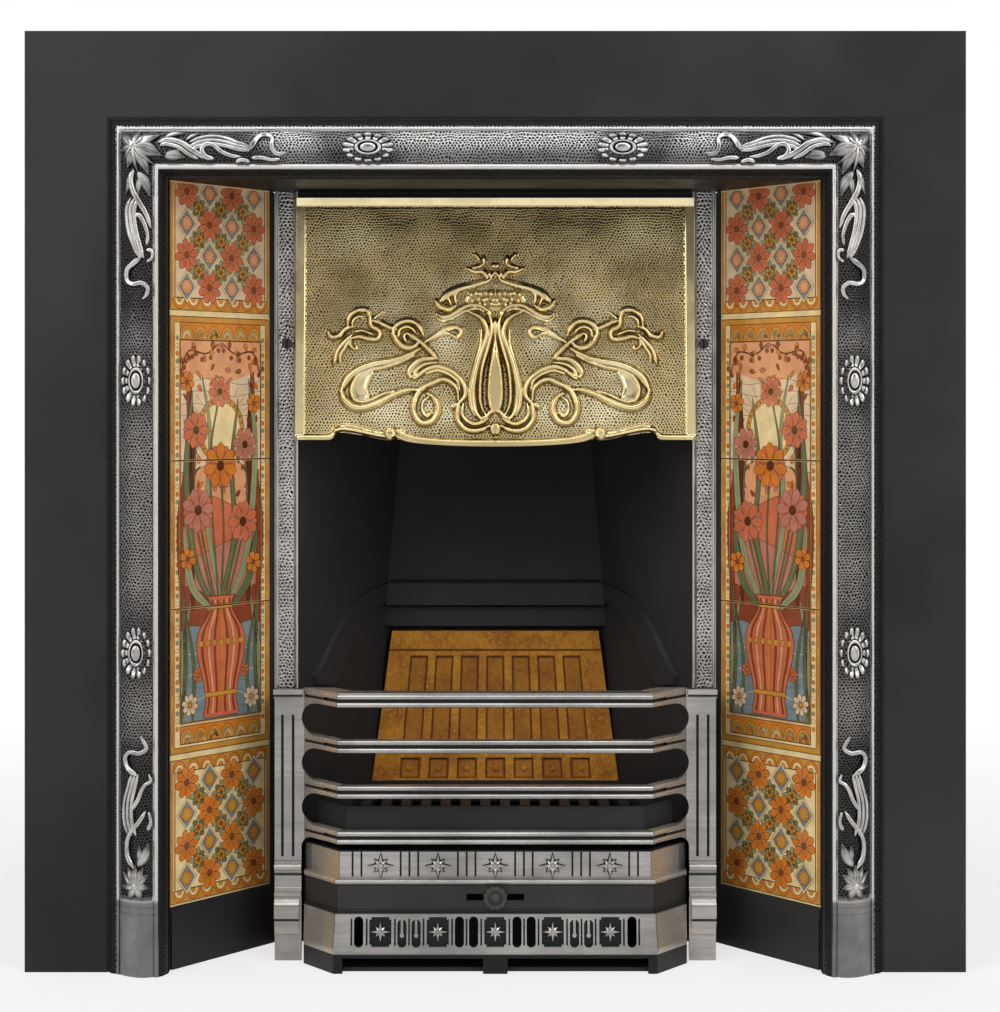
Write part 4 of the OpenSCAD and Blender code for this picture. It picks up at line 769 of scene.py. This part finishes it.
OPEN_CORDS = (  # their ends aren't drawn in
    (1.6, 4, 1.6, 453, 405, 450, 407),
    # margin along the lower edge, with its scroll
    (1.4, 3, 1.4, 333, 430.6, 340, 429, 350, 430, 362, 432.4, 375, 435.2, 386, 437),
    (4.6, 4.6, 4.6, 388, 434.6, 388.2, 434.8),
    (1.3, 2.8, 1.3, 395, 431, 398, 433, 403, 435.5, 412, 438, 426, 440, 442, 441.2, 460, 441.8, 493, 442),
    (1.6, 1.9, 1.6, 396, 436, 404, 439.2, 418, 441.9, 434, 443.4, 450, 444, 470, 444.4, 493, 444.6),
    (2.2, 2.4, 2, 296, 437.6, 318, 437.6, 328, 437, 330.5, 435))
PADS = (  # height, softness of the edge, depth of the dish
    (2.6, 2.2, 0.8, 349, 383, 354, 377, 362, 373, 372, 372, 369, 379, 366, 388, 368, 398, 362, 401, 354, 400,
     350, 393),
    (4.6, 3.2, 0, 493, 318, 490, 324, 490.5, 340, 488, 356, 485.5, 372, 484.5, 390, 485, 404, 488, 411, 493, 412,
     498, 411, 501, 404, 501.5, 390, 500.5, 372, 498, 356, 495.5, 340, 496, 324),
    (4.2, 4, 0, 486.4, 429, 488.5, 424, 493, 422.4, 497.5, 424, 499.6, 429, 497.5, 434, 493, 435.8, 488.5, 434),
    (3.2, 1.6, 0, 488.5, 266, 490, 264, 494, 263.2, 497.5, 264.5, 498, 267, 494, 269, 490, 268.6),
    (0.8, 3, 0, 463, 300, 467, 295, 477, 292, 493, 291, 493, 310, 484, 309, 472, 306, 465, 304))


def stroke_dist(pts, reach):
    """The grid's points within reach of a polyline, their distance from it, and how far along it they are."""
    x0, z0 = pts.min(0) - reach
    x1, z1 = pts.max(0) + reach
    sel = np.where((GX > x0) & (GX < x1) & (GZ > z0) & (GZ < z1))
    gx, gz = GX[sel], GZ[sel]
    best, along = np.full(gx.shape, 1e9), np.zeros(gx.shape)
    seg = pts[1:] - pts[:-1]
    ln = np.hypot(*seg.T) + 1e-9
    acc = np.concatenate([[0], np.cumsum(ln)])
    for (px, pz), (sx, sz), length, start in zip(pts, seg, ln, acc):
        dx, dz = gx - px, gz - pz
        t = np.clip((dx * sx + dz * sz) / length ** 2, 0, 1)
        d = np.hypot(dx - t * sx, dz - t * sz)
        m = d < best
        best[m] = d[m]
        along[m] = ((start + t * length) / acc[-1])[m]
    return sel, best, along


def raise_to(sel, height, clear):
    HT[sel] = np.maximum(HT[sel], height)
    CLEAR[sel] = np.maximum(CLEAR[sel], clear)


def cord(ends, w, h, w1, *uv):
    """A rounded cord along photo points, drawn in over its ends."""
    w, w1 = w * WIDE + 0.55, w1 * WIDE + 0.55
    sel, d, t = stroke_dist(spline(can_pts(uv), 1.3), max(w, w1) + 2.2)
    w = w + (w1 - w) * t
    if ends:
        w = w * np.clip(np.minimum(t, 1 - t) / ends, 0.25, 1) ** 0.5
    raise_to(sel, h * HIGH * (1 - np.clip(d / w, 0, 1) ** 2) ** 0.8, d < w + 1.2)


def pad(h, soft, dish, *uv):
    """A filled rounded shape, or with dish a hollowed one."""
    poly = spline(can_pts(uv + uv[:2]), 1.5)
    sel, d, _ = stroke_dist(poly, soft + 1.6)
    gx, gz = GX[sel], GZ[sel]
    inside = np.zeros(gx.shape, bool)
    for a, c in zip(poly, np.roll(poly, -1, 0)):
        inside ^= ((a[1] > gz) != (c[1] > gz)) & (gx < (c[0] - a[0]) * (gz - a[1]) / (c[1] - a[1] + 1e-12) + a[0])
    k = smoothstep(d, 0, soft)
    h = h * 1.3 * np.sqrt(np.clip(k * (2 - k), 0, 1)) - dish * smoothstep(d, soft * 0.6, soft * 2.5)
    raise_to(sel, h * inside, inside)


def blurred(a, k):
    """Each inner point with its four neighbours, itself counted k times."""
    a = a.copy()
    a[1:-1, 1:-1] = (a[1:-1, 1:-1] * k + a[:-2, 1:-1] + a[2:, 1:-1] + a[1:-1, :-2] + a[1:-1, 2:]) / (4 + k)
    return a


def mirrored(a, sign=1):
    return np.concatenate([a, sign * a[:, -2::-1]], 1)


def canopy_relief():
    for row in PADS:
        pad(*row)
    for rows, ends in ((CORDS, 0.14), (OPEN_CORDS, 0)):
        for row in rows:
            cord(ends, *row)
    rng = np.random.default_rng(4)  # seeds of the crown
    for i in range(18):
        row = i // 6
        u = 467.5 + (i % 6) * 5.1 + (row % 2) * 2.6 + rng.uniform(-1.2, 1.2)
        v = 295.2 + row * 4.9 + rng.uniform(-1.2, 1.2) - 0.9 * ((u - 468) / 24)
        x, z = can_pts((u, v))[0]
        d = np.hypot(GX - x, GZ - z)
        k = d < 2.5
        HT[k] = np.maximum(HT[k], 0.9 + 3.4 * np.sqrt(1 - (d[k] / 2.5) ** 2))
    # plain margins at the top and the sides, with a groove inside the top one
    top = smoothstep(GZ, -9, -7.2)
    margin = np.maximum(top, 1 - smoothstep(GX, -CAN_HW + 9, -CAN_HW + 11))
    raise_to(slice(None), margin * 1.5 + top * 1.3 * (1 + GZ / 9), margin > 0.02)
    HT[:] -= 0.9 * bell(GZ, -9.4, 0.6) * (GX > -CAN_HW + 10)
    # soft swelling and waves of the ground under the drawing
    swell = 3.2 * np.exp(-((GX / 150) ** 2 + ((GZ + 165) / 95) ** 2) * 1.2)
    wave = 0.5 * np.sin(GX / 31 + 1.1) * np.sin(GZ / 27 + 0.4) + 0.25 * np.sin(GX / 13) * np.sin(GZ / 17 + 2)
    inner = smoothstep(np.minimum(-GZ, GZ - ZE), 8, 40) * smoothstep(GX, -CAN_HW + 11, -CAN_HW + 60)
    # smoothed a little, as cast and polished metal is
    h = blurred(np.maximum(HT + (swell + wave) * inner + 0.8, 0.12), 4)
    # how far each point stands above or below its surroundings, and where the brass gets a painted highlight
    around = h
    for _ in range(9):
        around = blurred(around, 1)

    def glow(x, z, rx, rz):
        return np.exp(-((np.abs(GX) - x) / rx) ** 2 - ((GZ - z) / rz) ** 2)
    sheen = glow(105, -225, 60, 26) * (0.75 + 0.25 * np.sin(GX / 9 + GZ / 14))
    for k, *spot in ((1, 52, -150, 17, 24), (0.9, 128, -184, 22, 14), (0.75, 62, -232, 34, 16),
                     (0.45, 118, -120, 34, 14), (0.35, 40, -95, 60, 12), (0.35, 150, -45, 50, 18)):
        sheen = np.maximum(sheen, k * glow(*spot))
    # the plain margins get the painted highlight too, the top one most
    sheen = np.maximum(sheen, np.maximum(0.75 * top, 0.3 * margin))
    b = Build()
    x, z, h2 = mirrored(GX, -1), mirrored(GZ), mirrored(h)
    pts = stack(x, CAN_Y - h2 * CA + z * SA, CAN_Z + h2 * SA + z * CA)
    b.grid(pts, mirrored(1 - CLEAR))
    # rolled edge back to the sheet's rear face
    ring = np.concatenate([pts[0, :], pts[1:, -1], pts[-1, -2::-1], pts[-2:0:-1, 0]])
    rear = ring.copy()
    rear[:, 1] = CAN_Y + (ring[:, 2] - CAN_Z) / CA * SA + 3.1
    b.grid([ring, rear], close_v=True, flip=True)
    rest = np.zeros(2 * len(ring))
    b.make("canopy_relief", M["brass"], "surround", "brass", True,
           relief=np.append(mirrored(np.clip((h - around) / 1.5, -1, 1)), rest), sheen=np.append(mirrored(sheen), rest))


canopy_relief()


# ---------------- tile pictures: a garden pattern laid on in thin glazes
def polar(c, r, a, tall=1):
    return stack(c[0] + r * np.cos(a), c[1] + r * tall * np.sin(a))


class Art:
    """Flat shapes in panel millimetres (across, up). Each has a glaze and a layer, higher ones in front."""
    def __init__(self):
        self.s = []

    def fill(self, pts, col, lay):
        self.s.append((np.asarray(pts, float), col, lay))

    def line(self, pts, w, col, lay, closed=False):
        """A line of one or of changing width. Its two edges come back."""
        p = np.asarray(pts, float)
        if closed:
            p = np.vstack([p, p[:2]])
        d = np.gradient(p, axis=0)
        d /= np.maximum(np.linalg.norm(d, axis=1), 1e-9)[:, None]
        off = stack(-d[:, 1], d[:, 0]) * (np.ones(len(p)) * w / 2)[:, None]
        a, b = p + off, p - off
        if closed:
            a[-2], b[-2] = a[0], b[0]
        for i in range(len(p) - 1 - closed):
            self.fill([a[i], a[i + 1], b[i + 1], b[i]], col, lay)
        return a, b

    def shape(self, pts, col, lay, w=0.5, edge="brown"):
        self.fill(pts, col, lay)
        self.line(pts, w, edge, lay + 1, True)

    def disc(self, c, r, col, lay, n, *edge):
        (self.shape if edge else self.fill)(polar(c, r, circle(n)), col, lay, *edge)

    def rect(self, x0, z0, x1, z1, col, lay, w, edge="brown"):
        p = [(x0, z0), (x1, z0), (x1, z1), (x0, z1)]
        if col:
            self.fill(p, col, lay)
        for i in range(4):
            self.line([p[i], p[(i + 1) % 4]], w, edge, lay + 1)

    def lozenge(self, c, rx, rz, col, lay, w, edge="brown"):
        x, z = c
        self.shape([(x, z - rz), (x + rx, z), (x, z + rz), (x - rx, z)], col, lay, w, edge)

    def petal(self, c, ang, r0, r1, wide, col, lay, blunt=0.5):
        t = np.linspace(0, 1, 8)
        half = wide * np.sin(pi * t ** (1 + blunt)) ** 0.65
        half[[0, -1]] = wide * 0.12, 0
        r = r0 + (r1 - r0) * t
        x, y = np.append(r, r[-2::-1]), np.append(half, -half[-2::-1])
        ca, sa = cos(ang), sin(ang)
        self.shape(stack(c[0] + x * ca - y * sa, c[1] + x * sa + y * ca), col, lay)
        self.line(polar(c, np.array([r0, r0 + 0.62 * (r1 - r0)]), ang), 0.35, "rust", lay + 1)

    def flower(self, c, r, n, col, lay, heart="rust", turn=0, second=None):
        for k in range(n):
            a = turn + TAU * k / n
            if second:
                self.petal(c, a + pi / n, r * 0.2, r * 0.92, r * 1.75 / n, second, lay)
            self.petal(c, a, r * 0.15, r, r * (1.7 if second else 2) / n, col, lay + 2)
        self.disc(c, r * 0.21, heart, lay + 4, 14, 0.45)
        for k in range(8):
            self.disc(polar(c, r * 0.3, k * pi / 4), r * 0.04, "gold", lay + 5, 6)

    def blade(self, wide, col, lay, vein, *xz):
        """A pointed leaf along points, with its edges and its vein drawn."""
        p = spline(np.reshape(xz, (-1, 2)), 4)
        w = wide * np.sin(pi * np.clip(0.12 + 0.88 * np.linspace(0, 1, len(p)), 0, 1)) ** 0.6
        w[-1] = 0.1
        for edge in self.line(p, w, col, lay):
            self.line(edge, 0.55, "brown", lay + 1)
        self.line(p, 0.4, vein, lay + 1)

    def scallops(self, x, pitch, n, z, tall, *rings):
        """Rows of half rounds, each of several rings."""
        for k in range(n):
            for r, col, lay in rings:
                self.shape(polar((x + k * pitch, z), r, np.linspace(0, pi, 12), tall), col, lay)


X0, X1, Z0, Z1, MID = 16, 136, 34, 432, 76  # the picture inside its rim, and its middle


def wavy(base, amp, turns, phase, n=24):
    t = np.linspace(0, 1, n)
    return stack(X0 + (X1 - X0) * t, base + amp * np.sin(TAU * turns * t + phase))


def picture():
    """The tall panel over three tiles: a jar of poppies and blades before a low sun. 152 by 459 mm."""
    A = Art()
    A.rect(2, 3, 150, 456, "gold", 0, 0.9)
    A.rect(8, 9, 144, 450, "cream", 1, 0.7)
    A.fill([(X0, Z0), (X1, Z0), (X1, Z1), (X0, Z1)], "pale", 3)
    for k in range(9):  # the gold rim carries long lozenges
        for x in (5, 147):
            A.lozenge((x, 30 + k * 50), 1.9, 17, "orange", 2, 0.4, "rust")
    for k in range(1, 52):  # beads
        for x in (12, 140):
            A.disc((x, 20.5 + k * 8.1), 2.3, ("sage", "orange", "cream")[k % 3], 3, 10, 0.45)
    # water, hills and sky, from the foot up
    low = np.array([(X0, Z0), (X1, Z0)])
    for high, col, edge in ((wavy(128, 6, 1.4, 0.4), "blue", "brown"), (wavy(168, 8, 0.9, 2.2), "rust", "brown"),
                            (wavy(214, 9, 0.7, 0.6), "rose", "brown"), (wavy(262, 7, 1.1, 3.2), "coral", "brown"),
                            (wavy(300, 6, 1, 5), "peach", "brown"), (wavy(392, 5, 1.2, 1), None, None),
                            (np.array([(X0, Z1), (X1, Z1)]), "peach", "peach")):
        if col:
            A.fill(np.vstack([low, high[::-1]]), col, 4)
            A.line(high, 0.6, edge, 5)
        low = high
    for k in range(7):  # ripples of the water
        A.line(wavy(46 + k * 12, 2, 3.2, k * 1.3, 40), 0.6, "pale" if k % 2 else "green", 6)
    sun = (MID, 338)
    A.disc(sun, 35, "gold", 6, 36, 0.7)
    A.disc(sun, 29, "cream", 8, 36, 0.5, "rust")
    for k in range(28):
        A.disc(polar(sun, 32, TAU * k / 28), 1.4, "rust", 8, 8)
    for k in range(4):
        A.line(wavy(350 + k * 13, 3, 1.3, k * 0.9, 34), 0.5, "rust", 6)
    for k in range(24):  # rays, and leaves blown across the sky
        A.line(polar(sun, np.array([38, 52]), TAU * k / 24), 0.9, "gold", 6)
    rng = np.random.default_rng(7)
    for k in range(70):
        c = (rng.uniform(20, 132), rng.uniform(268, 404))
        if dist(c, sun) > 41:
            A.petal(c, rng.uniform(0, 6.28), 0, rng.uniform(7, 11), rng.uniform(1.8, 3),
                    ("coral", "rust", "rose", "orange")[k % 4], 7, 0.3)

    def pair(*rows):
        """Blades on both sides, their points counted from the middle."""
        for sx in SIDES:
            for w, col, lay, vein, *xz in rows:
                xz[::2] = [MID + sx * x for x in xz[::2]]
                A.blade(w, col, lay, vein, *xz)
    pair((11, "rust", 8, "rust", 56, 150, 59, 240, 46, 320, 50, 400),  # dark trunks behind
         (8, "brown", 8, "rust", 41, 150, 44, 240, 42, 320, 46, 400),
         (4, "rust", 8, "brown", 54, 250, 40, 290, 30, 300))
    pair((6, "green", 9, "brown", 58, 35, 52, 92, 56, 178),  # reeds at the sides
         (7, "sage", 9, "brown", 50, 35, 58, 92, 44, 164), (5, "green", 9, "brown", 42, 35, 40, 92, 52, 150))
    for blade in ((9, "sage", 11, "green", 66, 150, 36, 210, 24, 318, 34, 392),
                  (9, "green", 11, "sage", 86, 150, 114, 200, 127, 290, 118, 380),
                  (10, "green", 13, "brown", 60, 150, 34, 180, 21, 236),
                  (10, "sage", 13, "brown", 92, 150, 120, 178, 131, 240),
                  (7, "sage", 13, "green", 74, 150, 96, 240, 92, 330, 104, 396),
                  (7, "green", 13, "sage", 79, 150, 56, 226, 60, 300, 50, 372)):
        A.blade(*blade)
    stems = (((70, 158), (58, 200), (43, 240), "coral", 23, "rose"),
             ((84, 158), (98, 205), (110, 254), "rose", 24, "coral"),
             ((76, 160), (72, 230), (77, 300), "orange", 25, "coral"),
             ((66, 158), (38, 250), (40, 322), "rose", 19, "peach"),
             ((88, 158), (114, 250), (113, 338), "coral", 20, "rose"),
             ((80, 160), (92, 300), (78, 378), "coral", 17, "peach"))
    for stem in stems:
        q = spline(stem[:3], 5)
        A.line(q, 2.8, "brown", 15)
        A.line(q, 1.7, "green", 16)
    for k, (_, _, c, col, r, second) in enumerate(stems):
        A.flower(c, r, 7, col, 17, "brown", k * 0.35, second)
    for *c, r in ((27, 196, 12), (125, 204, 12), (26, 366, 11), (126, 388, 11)):
        A.flower(c, r, 6, "orange", 17, "rust", 0.3)
    # the jar
    z = np.linspace(36, 163, 34)
    h = np.interp(z, (36, 40, 52, 74, 96, 114, 128, 140, 150, 158, 163), (25, 27, 22, 26, 34, 37, 33, 22, 15, 16, 21))
    h[1:-1] = (h[:-2] + h[1:-1] * 2 + h[2:]) / 4
    A.shape(np.vstack([stack(MID + h, z), stack(MID - h, z)[::-1]]), "coral", 24, w=0.8)
    for k, col in enumerate(("rust", "peach", "rust", "orange", "rust", "peach", "rust")):
        q = stack(MID + h * (0.26 * (k - 3)), z)[1:-1]
        A.line(q, 1 + 0.07 * h[1:-1], col, 26)
        A.line(q + [0.6 + 0.035 * h[10], 0], 0.4, "brown", 27)
    for zc, hw in ((152, 16.5), (60, 24)):
        A.rect(MID - hw, zc - 2.4, MID + hw, zc + 2.4, "gold", 28, 0.5)
    for k in range(-3, 4):
        A.disc((MID + k * 10, 114), 3.6, "gold", 28, 12, 0.5)
    for sx in SIDES:  # lilies on the water
        for x, zc, r, col in ((46, 52, 12, "pale"), (34, 82, 8, "coral")):
            A.flower((MID + sx * x, zc), r, 8, col, 17, "gold", 0.2)
    for sx in SIDES:  # boughs of leaves and berries at the top
        q = spline([(MID + sx * x, zc) for x, zc in ((60, 396), (48, 420), (22, 418), (4, 428))], 3)
        A.line(q, 1.6, "brown", 17)
        for i in range(1, len(q), 2):
            A.petal(q[i], (i * 2.4) % 6.28, 1, 9, 2.6, ("coral", "rust", "orange")[i % 3], 18, 0.3)
        for i in range(2, len(q), 4):
            A.disc(q[i] + [0, -6.5], 2.5, "rust", 20, 10, 0.4)
    A.rect(X0, Z0, X1, Z1, None, 29, 1)
    A.rect(X0 - 0.9, Z0 - 0.9, X1 + 0.9, Z1 + 0.9, None, 29, 0.9, "gold")
    for zc in (21.5, 441):  # gold bands of scallops at foot and head
        A.rect(X0, zc - 9.5, X1, zc + 9, "orange", 5, 0.8)
        A.scallops(26, 20, 6, zc - 9, 1.5, (10, "gold", 7), (7, "cream", 7), (3.6, "orange", 11))
    return A


def end_tile(warm):
    """A square end tile: daisies and lozenges by turns on blue, between bands of scallops. 152 mm."""
    A = Art()
    A.rect(2, 2, 150, 150, "gold", 0, 0.8)
    A.rect(9, 15, 143, 137, "pale" if warm else "cream", 1, 0.9)
    for x in (6.2, 143.8):
        A.rect(x, 15, x + 2, 137, "cream", 1, 0.4, "rust")
    for z, s in ((15, -1), (137, 1)):
        A.scallops(15.5, 20.2, 7, z + s * 0.5, s * 1.15, (9.8, "orange", 2), (6.8, "cream", 4), (3.6, "gold", 6))
    for i in range(1, 4):
        for j in range(1, 4):
            c = (9.5 + i * 33.2, 10 + j * 33)
            for k in range(4):
                for turn, far in ((-0.7, 0.8), (0, 1), (0.7, 0.8)):
                    A.petal(c, pi * k / 2 + turn, 1.4, 14 * far, 2.8, "sage", 3, 0.3)
            A.flower(c, 6.5, 6, "gold", 12, "rust", 0.4)
    for i in range(4):
        for j in range(4):
            c = (26 + i * 33.4, 26.5 + j * 33)
            if (i + j) % 2 == 0:
                A.flower(c, 17.5, 8, "coral" if warm else "orange", 6, "rust", 0.2 * i)
                continue
            A.lozenge(c, 14.5, 17, "cream", 8, 0.7)
            A.lozenge(c, 12, 14, "blue", 10, 0.5, "rust")
            A.disc(c, 7.6, "peach" if warm else "gold", 12, 18, 0.6)
            for k in range(10):
                A.disc(polar(c, 5.6, k * 0.628), 0.9, "rust", 14, 6)
    return A


def clip(p, x0, x1, z0, z1):
    for ax, lim, s in ((0, x0, 1), (0, x1, -1), (1, z0, 1), (1, z1, -1)):
        d = (p[:, ax] - lim) * s
        out = []
        for a, b, da, db in zip(np.roll(p, 1, 0), p, np.roll(d, 1), d):
            if (da >= 0) != (db >= 0):
                out.append(a + (b - a) * da / (da - db))
            if db >= 0:
                out.append(b)
        p = np.reshape(out, (-1, 2))
    return p


TILE_X, TILE_Z, PITCH = 3.4, 64, 153.5  # the lowest tile's corner on the cheek, and the tiles' pitch
GLAZED = (2.2, 150.4, 0.3)  # left, right and foot of a tile's glaze
HEAD, TOP = 151.7, 747.6  # its head, and where the surround cuts the fifth tile
OUT, STEP = 1.92, 0.022  # of the glazes from the cheek, layer by layer
CHEEK_X, CHEEK_Y = 240, 132.2  # inner end of the splayed cheek
SPLAY_COS, SPLAY_SIN = 0.6088, 0.7934


def on_cheek(side, u, z, out):
    """Design points on the cheek: u across it from its inner end, and how far out of its face."""
    return stack(side * (CHEEK_X + SPLAY_COS * u + SPLAY_SIN * out), CHEEK_Y - SPLAY_SIN * u + SPLAY_COS * out, z)


PANELS = [(end_tile(False), 0, 0), (end_tile(True), 4, 0)] + [(picture(), k, (k - 1) * PITCH) for k in (1, 2, 3)]
names = sorted(GLAZES)
for side, name in zip(SIDES, ("tile_art_left", "tile_art_right")):
    b = Build()
    for A, row, low in PANELS:
        for pts, col, lay in A.s:
            q = clip(pts - [0, low], *GLAZED, TOP - row * PITCH if row == 4 else HEAD)
            if len(q) < 3:
                continue
            x, z = q.T
            if np.sum(x * np.roll(z, -1) - z * np.roll(x, -1)) * side < 0:
                x, z = x[::-1], z[::-1]
            xyz = on_cheek(side, TILE_X + x, TILE_Z + row * PITCH + z, OUT - STEP * lay)
            b.add(xyz, [range(len(q))], names.index(col))
    # pale joints round the end tiles, and fine dark ones between the rest
    for k, col in enumerate(("cream", "brown", "brown", "cream")):
        z = 216 + k * PITCH + np.array([0, 0, 1.5, 1.5])
        b.add(on_cheek(side, np.array([5.2, 154.6, 154.6, 5.2]), z, 2.2), [range(4)], names.index(col))
    b.make(name, [M[k] for k in names], "surround", "glazed_tile")


# ---------------- CAD nodes keep their shape and get their finish
# the head plate, under the head, takes the darker cheek black as painted shade
FINISH = {"tile_left_": "cream", "tile_right_": "cream", "surround_plate": "plate", "tile_cheek": "plate",
          "tile_tray": "cheek", "head_plate": "cheek", "pilaster": "pil", "canopy_screw": "screw",
          "canopy": "brass_plain", "front_bars": "bars", "air_slide": "air", "ashpan_cover": "cover",
          "air_knob": "knob", "firebrick": "brick", "ash_pan": "sheet", "border_moulding": "orn",
          "firebox_cheek": "side", "": "dull"}
for name, o in nodes.items():
    mat = M[next(key for start, key in FINISH.items() if name.startswith(start))]
    if not o.material_slots:
        o.data.materials.append(mat)
    for s in o.material_slots:
        s.material = mat


def star(b, cx, cz, y, r, high):
    """A star of the ashpan cover, bright on its facets, with painted shade at its heart and a painted shadow round
    about.
    """
    a = pi / 2 + circle(16)
    rad = r * np.array([1, 0.36, 0.68, 0.36] * 4)

    def ring(rad, y):
        return stack(cx + rad * np.cos(a), y, cz + rad * np.sin(a))
    cap = [range(16)[::-1]]
    heart = ring(r * 0.19, y - high + 0.9)
    # painted shadow: a black star a little larger than the star, just in front of the cover
    b.add(ring(rad + 2, y - 0.12), cap, 1)
    b.grid([ring(rad, y - 0.3), ring(r * 0.27, y - high), heart], close_v=True)
    # painted shade: a black disc in the hollow at the star's heart
    b.add(heart, cap, 1)


b = Build()
for i in range(-2, 3):
    star(b, i * 58.8, 108.5, 5, 12.2, 4.2)
    star(b, i * 58.8, 42.5, -2.5, 10.6, 3.4)
b.make("cover_stars", [M["star"], M["slide"]], "ashpan_cover", "polished_iron")

# painted shade: a dark sheet on the head of each of the two screws stands in for its slot
for name, turn in (("canopy_screw_left", 1.45), ("canopy_screw_right", 1.62)):
    box = np.array([nodes[name].matrix_world @ Vector(c) for c in nodes[name].bound_box]) * 1000
    lo, hi = box.min(0), box.max(0)
    x, _, z = (lo + hi) / 2
    r, c, q = (hi[0] - lo[0]) / 2 * 0.82, cos(turn), sin(turn)
    b = Build()
    b.add([(x + r * i * c - 0.8 * j * q, lo[1] + YM - 0.12, z + r * i * q + 0.8 * j * c)
           for i, j in ((-1, -1), (1, -1), (1, 1), (-1, 1))], [range(4)])
    b.make(name + "_slot", M["slide"], "surround", "steel_rod")

# a black strip closes the joint between the tile cheeks and the pilasters at the head: painted shade where the joint
# would be dark
for sx, name in zip(SIDES, ("head_joint_left", "head_joint_right")):
    b = Build()
    b.add([(sx * x, y, z) for z in (778, 812.6) for x, y in ((209.5, 146), (244, 146), (244, 149), (209.5, 149))],
          [(0, 3, 2, 1), (4, 5, 6, 7), (0, 1, 5, 4), (1, 2, 6, 5), (2, 3, 7, 6), (3, 0, 4, 7)])
    b.make(name, M["dull"], "surround", "black_iron")


# ---------------- stage and light
def sheet(name, corners, face, mat):
    me = bpy.data.meshes.new(name)
    me.from_pydata(corners, [], [face])
    me.materials.append(mat.m)
    return link(bpy.data.objects.new(name, me))


def emitter(tree, kind, strength):
    node = tree.n(kind)
    node.inputs["Color"].default_value = (1, 1, 1, 1)
    node.inputs["Strength"].default_value = strength
    return node.outputs[0]


# seen by the camera or in the metal, the floor is partly plain white, and keeps the object's shadow
fm = Mat("floor_pale", (0.86, 0.86, 0.86, 1), 0, 0.75)
far = fm.n("VectorMath", operation="LENGTH")
fm.put(far.inputs[0], fm.coord)
path = fm.n("LightPath").outputs
share = (Value(fm, path["Is Camera Ray"]) | path["Is Glossy Ray"]) * \
    Value(fm, far.outputs["Value"]).ramp(0.5, 2, 0.68, 1)
fm.surface(share, fm.b.outputs[0], emitter(fm, "Emission", 1))
floor = sheet("floor", [(-6, -6, 0), (6, -6, 0), (6, 6, 0), (-6, 6, 0)], (0, 1, 2, 3), fm)

# a plain grey wall of the studio, behind the camera, that the polished metal reflects
wall = sheet("studio_wall", [(-5, -4.6, 0), (5, -4.6, 0), (5, -4.6, 4.2), (-5, -4.6, 4.2)], (0, 3, 2, 1),
             Mat("wall_grey", (0.3, 0.3, 0.3, 1), 0, 0.9))
wall.visible_camera = False

# the world is white to the eye, and gives half that light
world = bpy.data.worlds.new("studio")
bpy.context.scene.world = world
world.use_nodes = True
wt = Nodes(world.node_tree)
wt.t.nodes.clear()
wt.n("OutputWorld")
path = wt.n("LightPath").outputs
wt.surface(Value(wt, path["Is Camera Ray"]) | path["Is Glossy Ray"] | path["Is Transmission Ray"],
           *(emitter(wt, "Background", v) for v in (0.5, 1)))


def area(name, loc, aim, size, power, color=(1, 1, 1)):
    d = bpy.data.lights.new(name, "AREA")
    d.shape, d.energy, d.color = "RECTANGLE", power, color
    d.size, d.size_y = size
    o = link(bpy.data.objects.new(name, d))
    o.location = loc
    o.rotation_euler = (Vector(aim) - Vector(loc)).to_track_quat("-Z", "Y").to_euler()


area("top_front", (0, -1.4, 2.7), (0, 0, 0.3), (2.4, 0.8), 20)
area("front_card", (0, -3.4, 0.75), (0, 0, 0.6), (3, 1.1), 9)
for sx, side in zip(SIDES, ("left", "right")):
    area("key_" + side, (1.7 * sx, -2.3, 1.9), (0, 0, 0.5), (1.2, 1.6), 24)
    area("warm_" + side, (1.5 * sx, -0.9, 0.35), (0, 0, 0.3), (0.5, 0.9), 1.6, (1, 0.72, 0.5))

bpy.context.scene.view_settings.view_transform = "Standard"
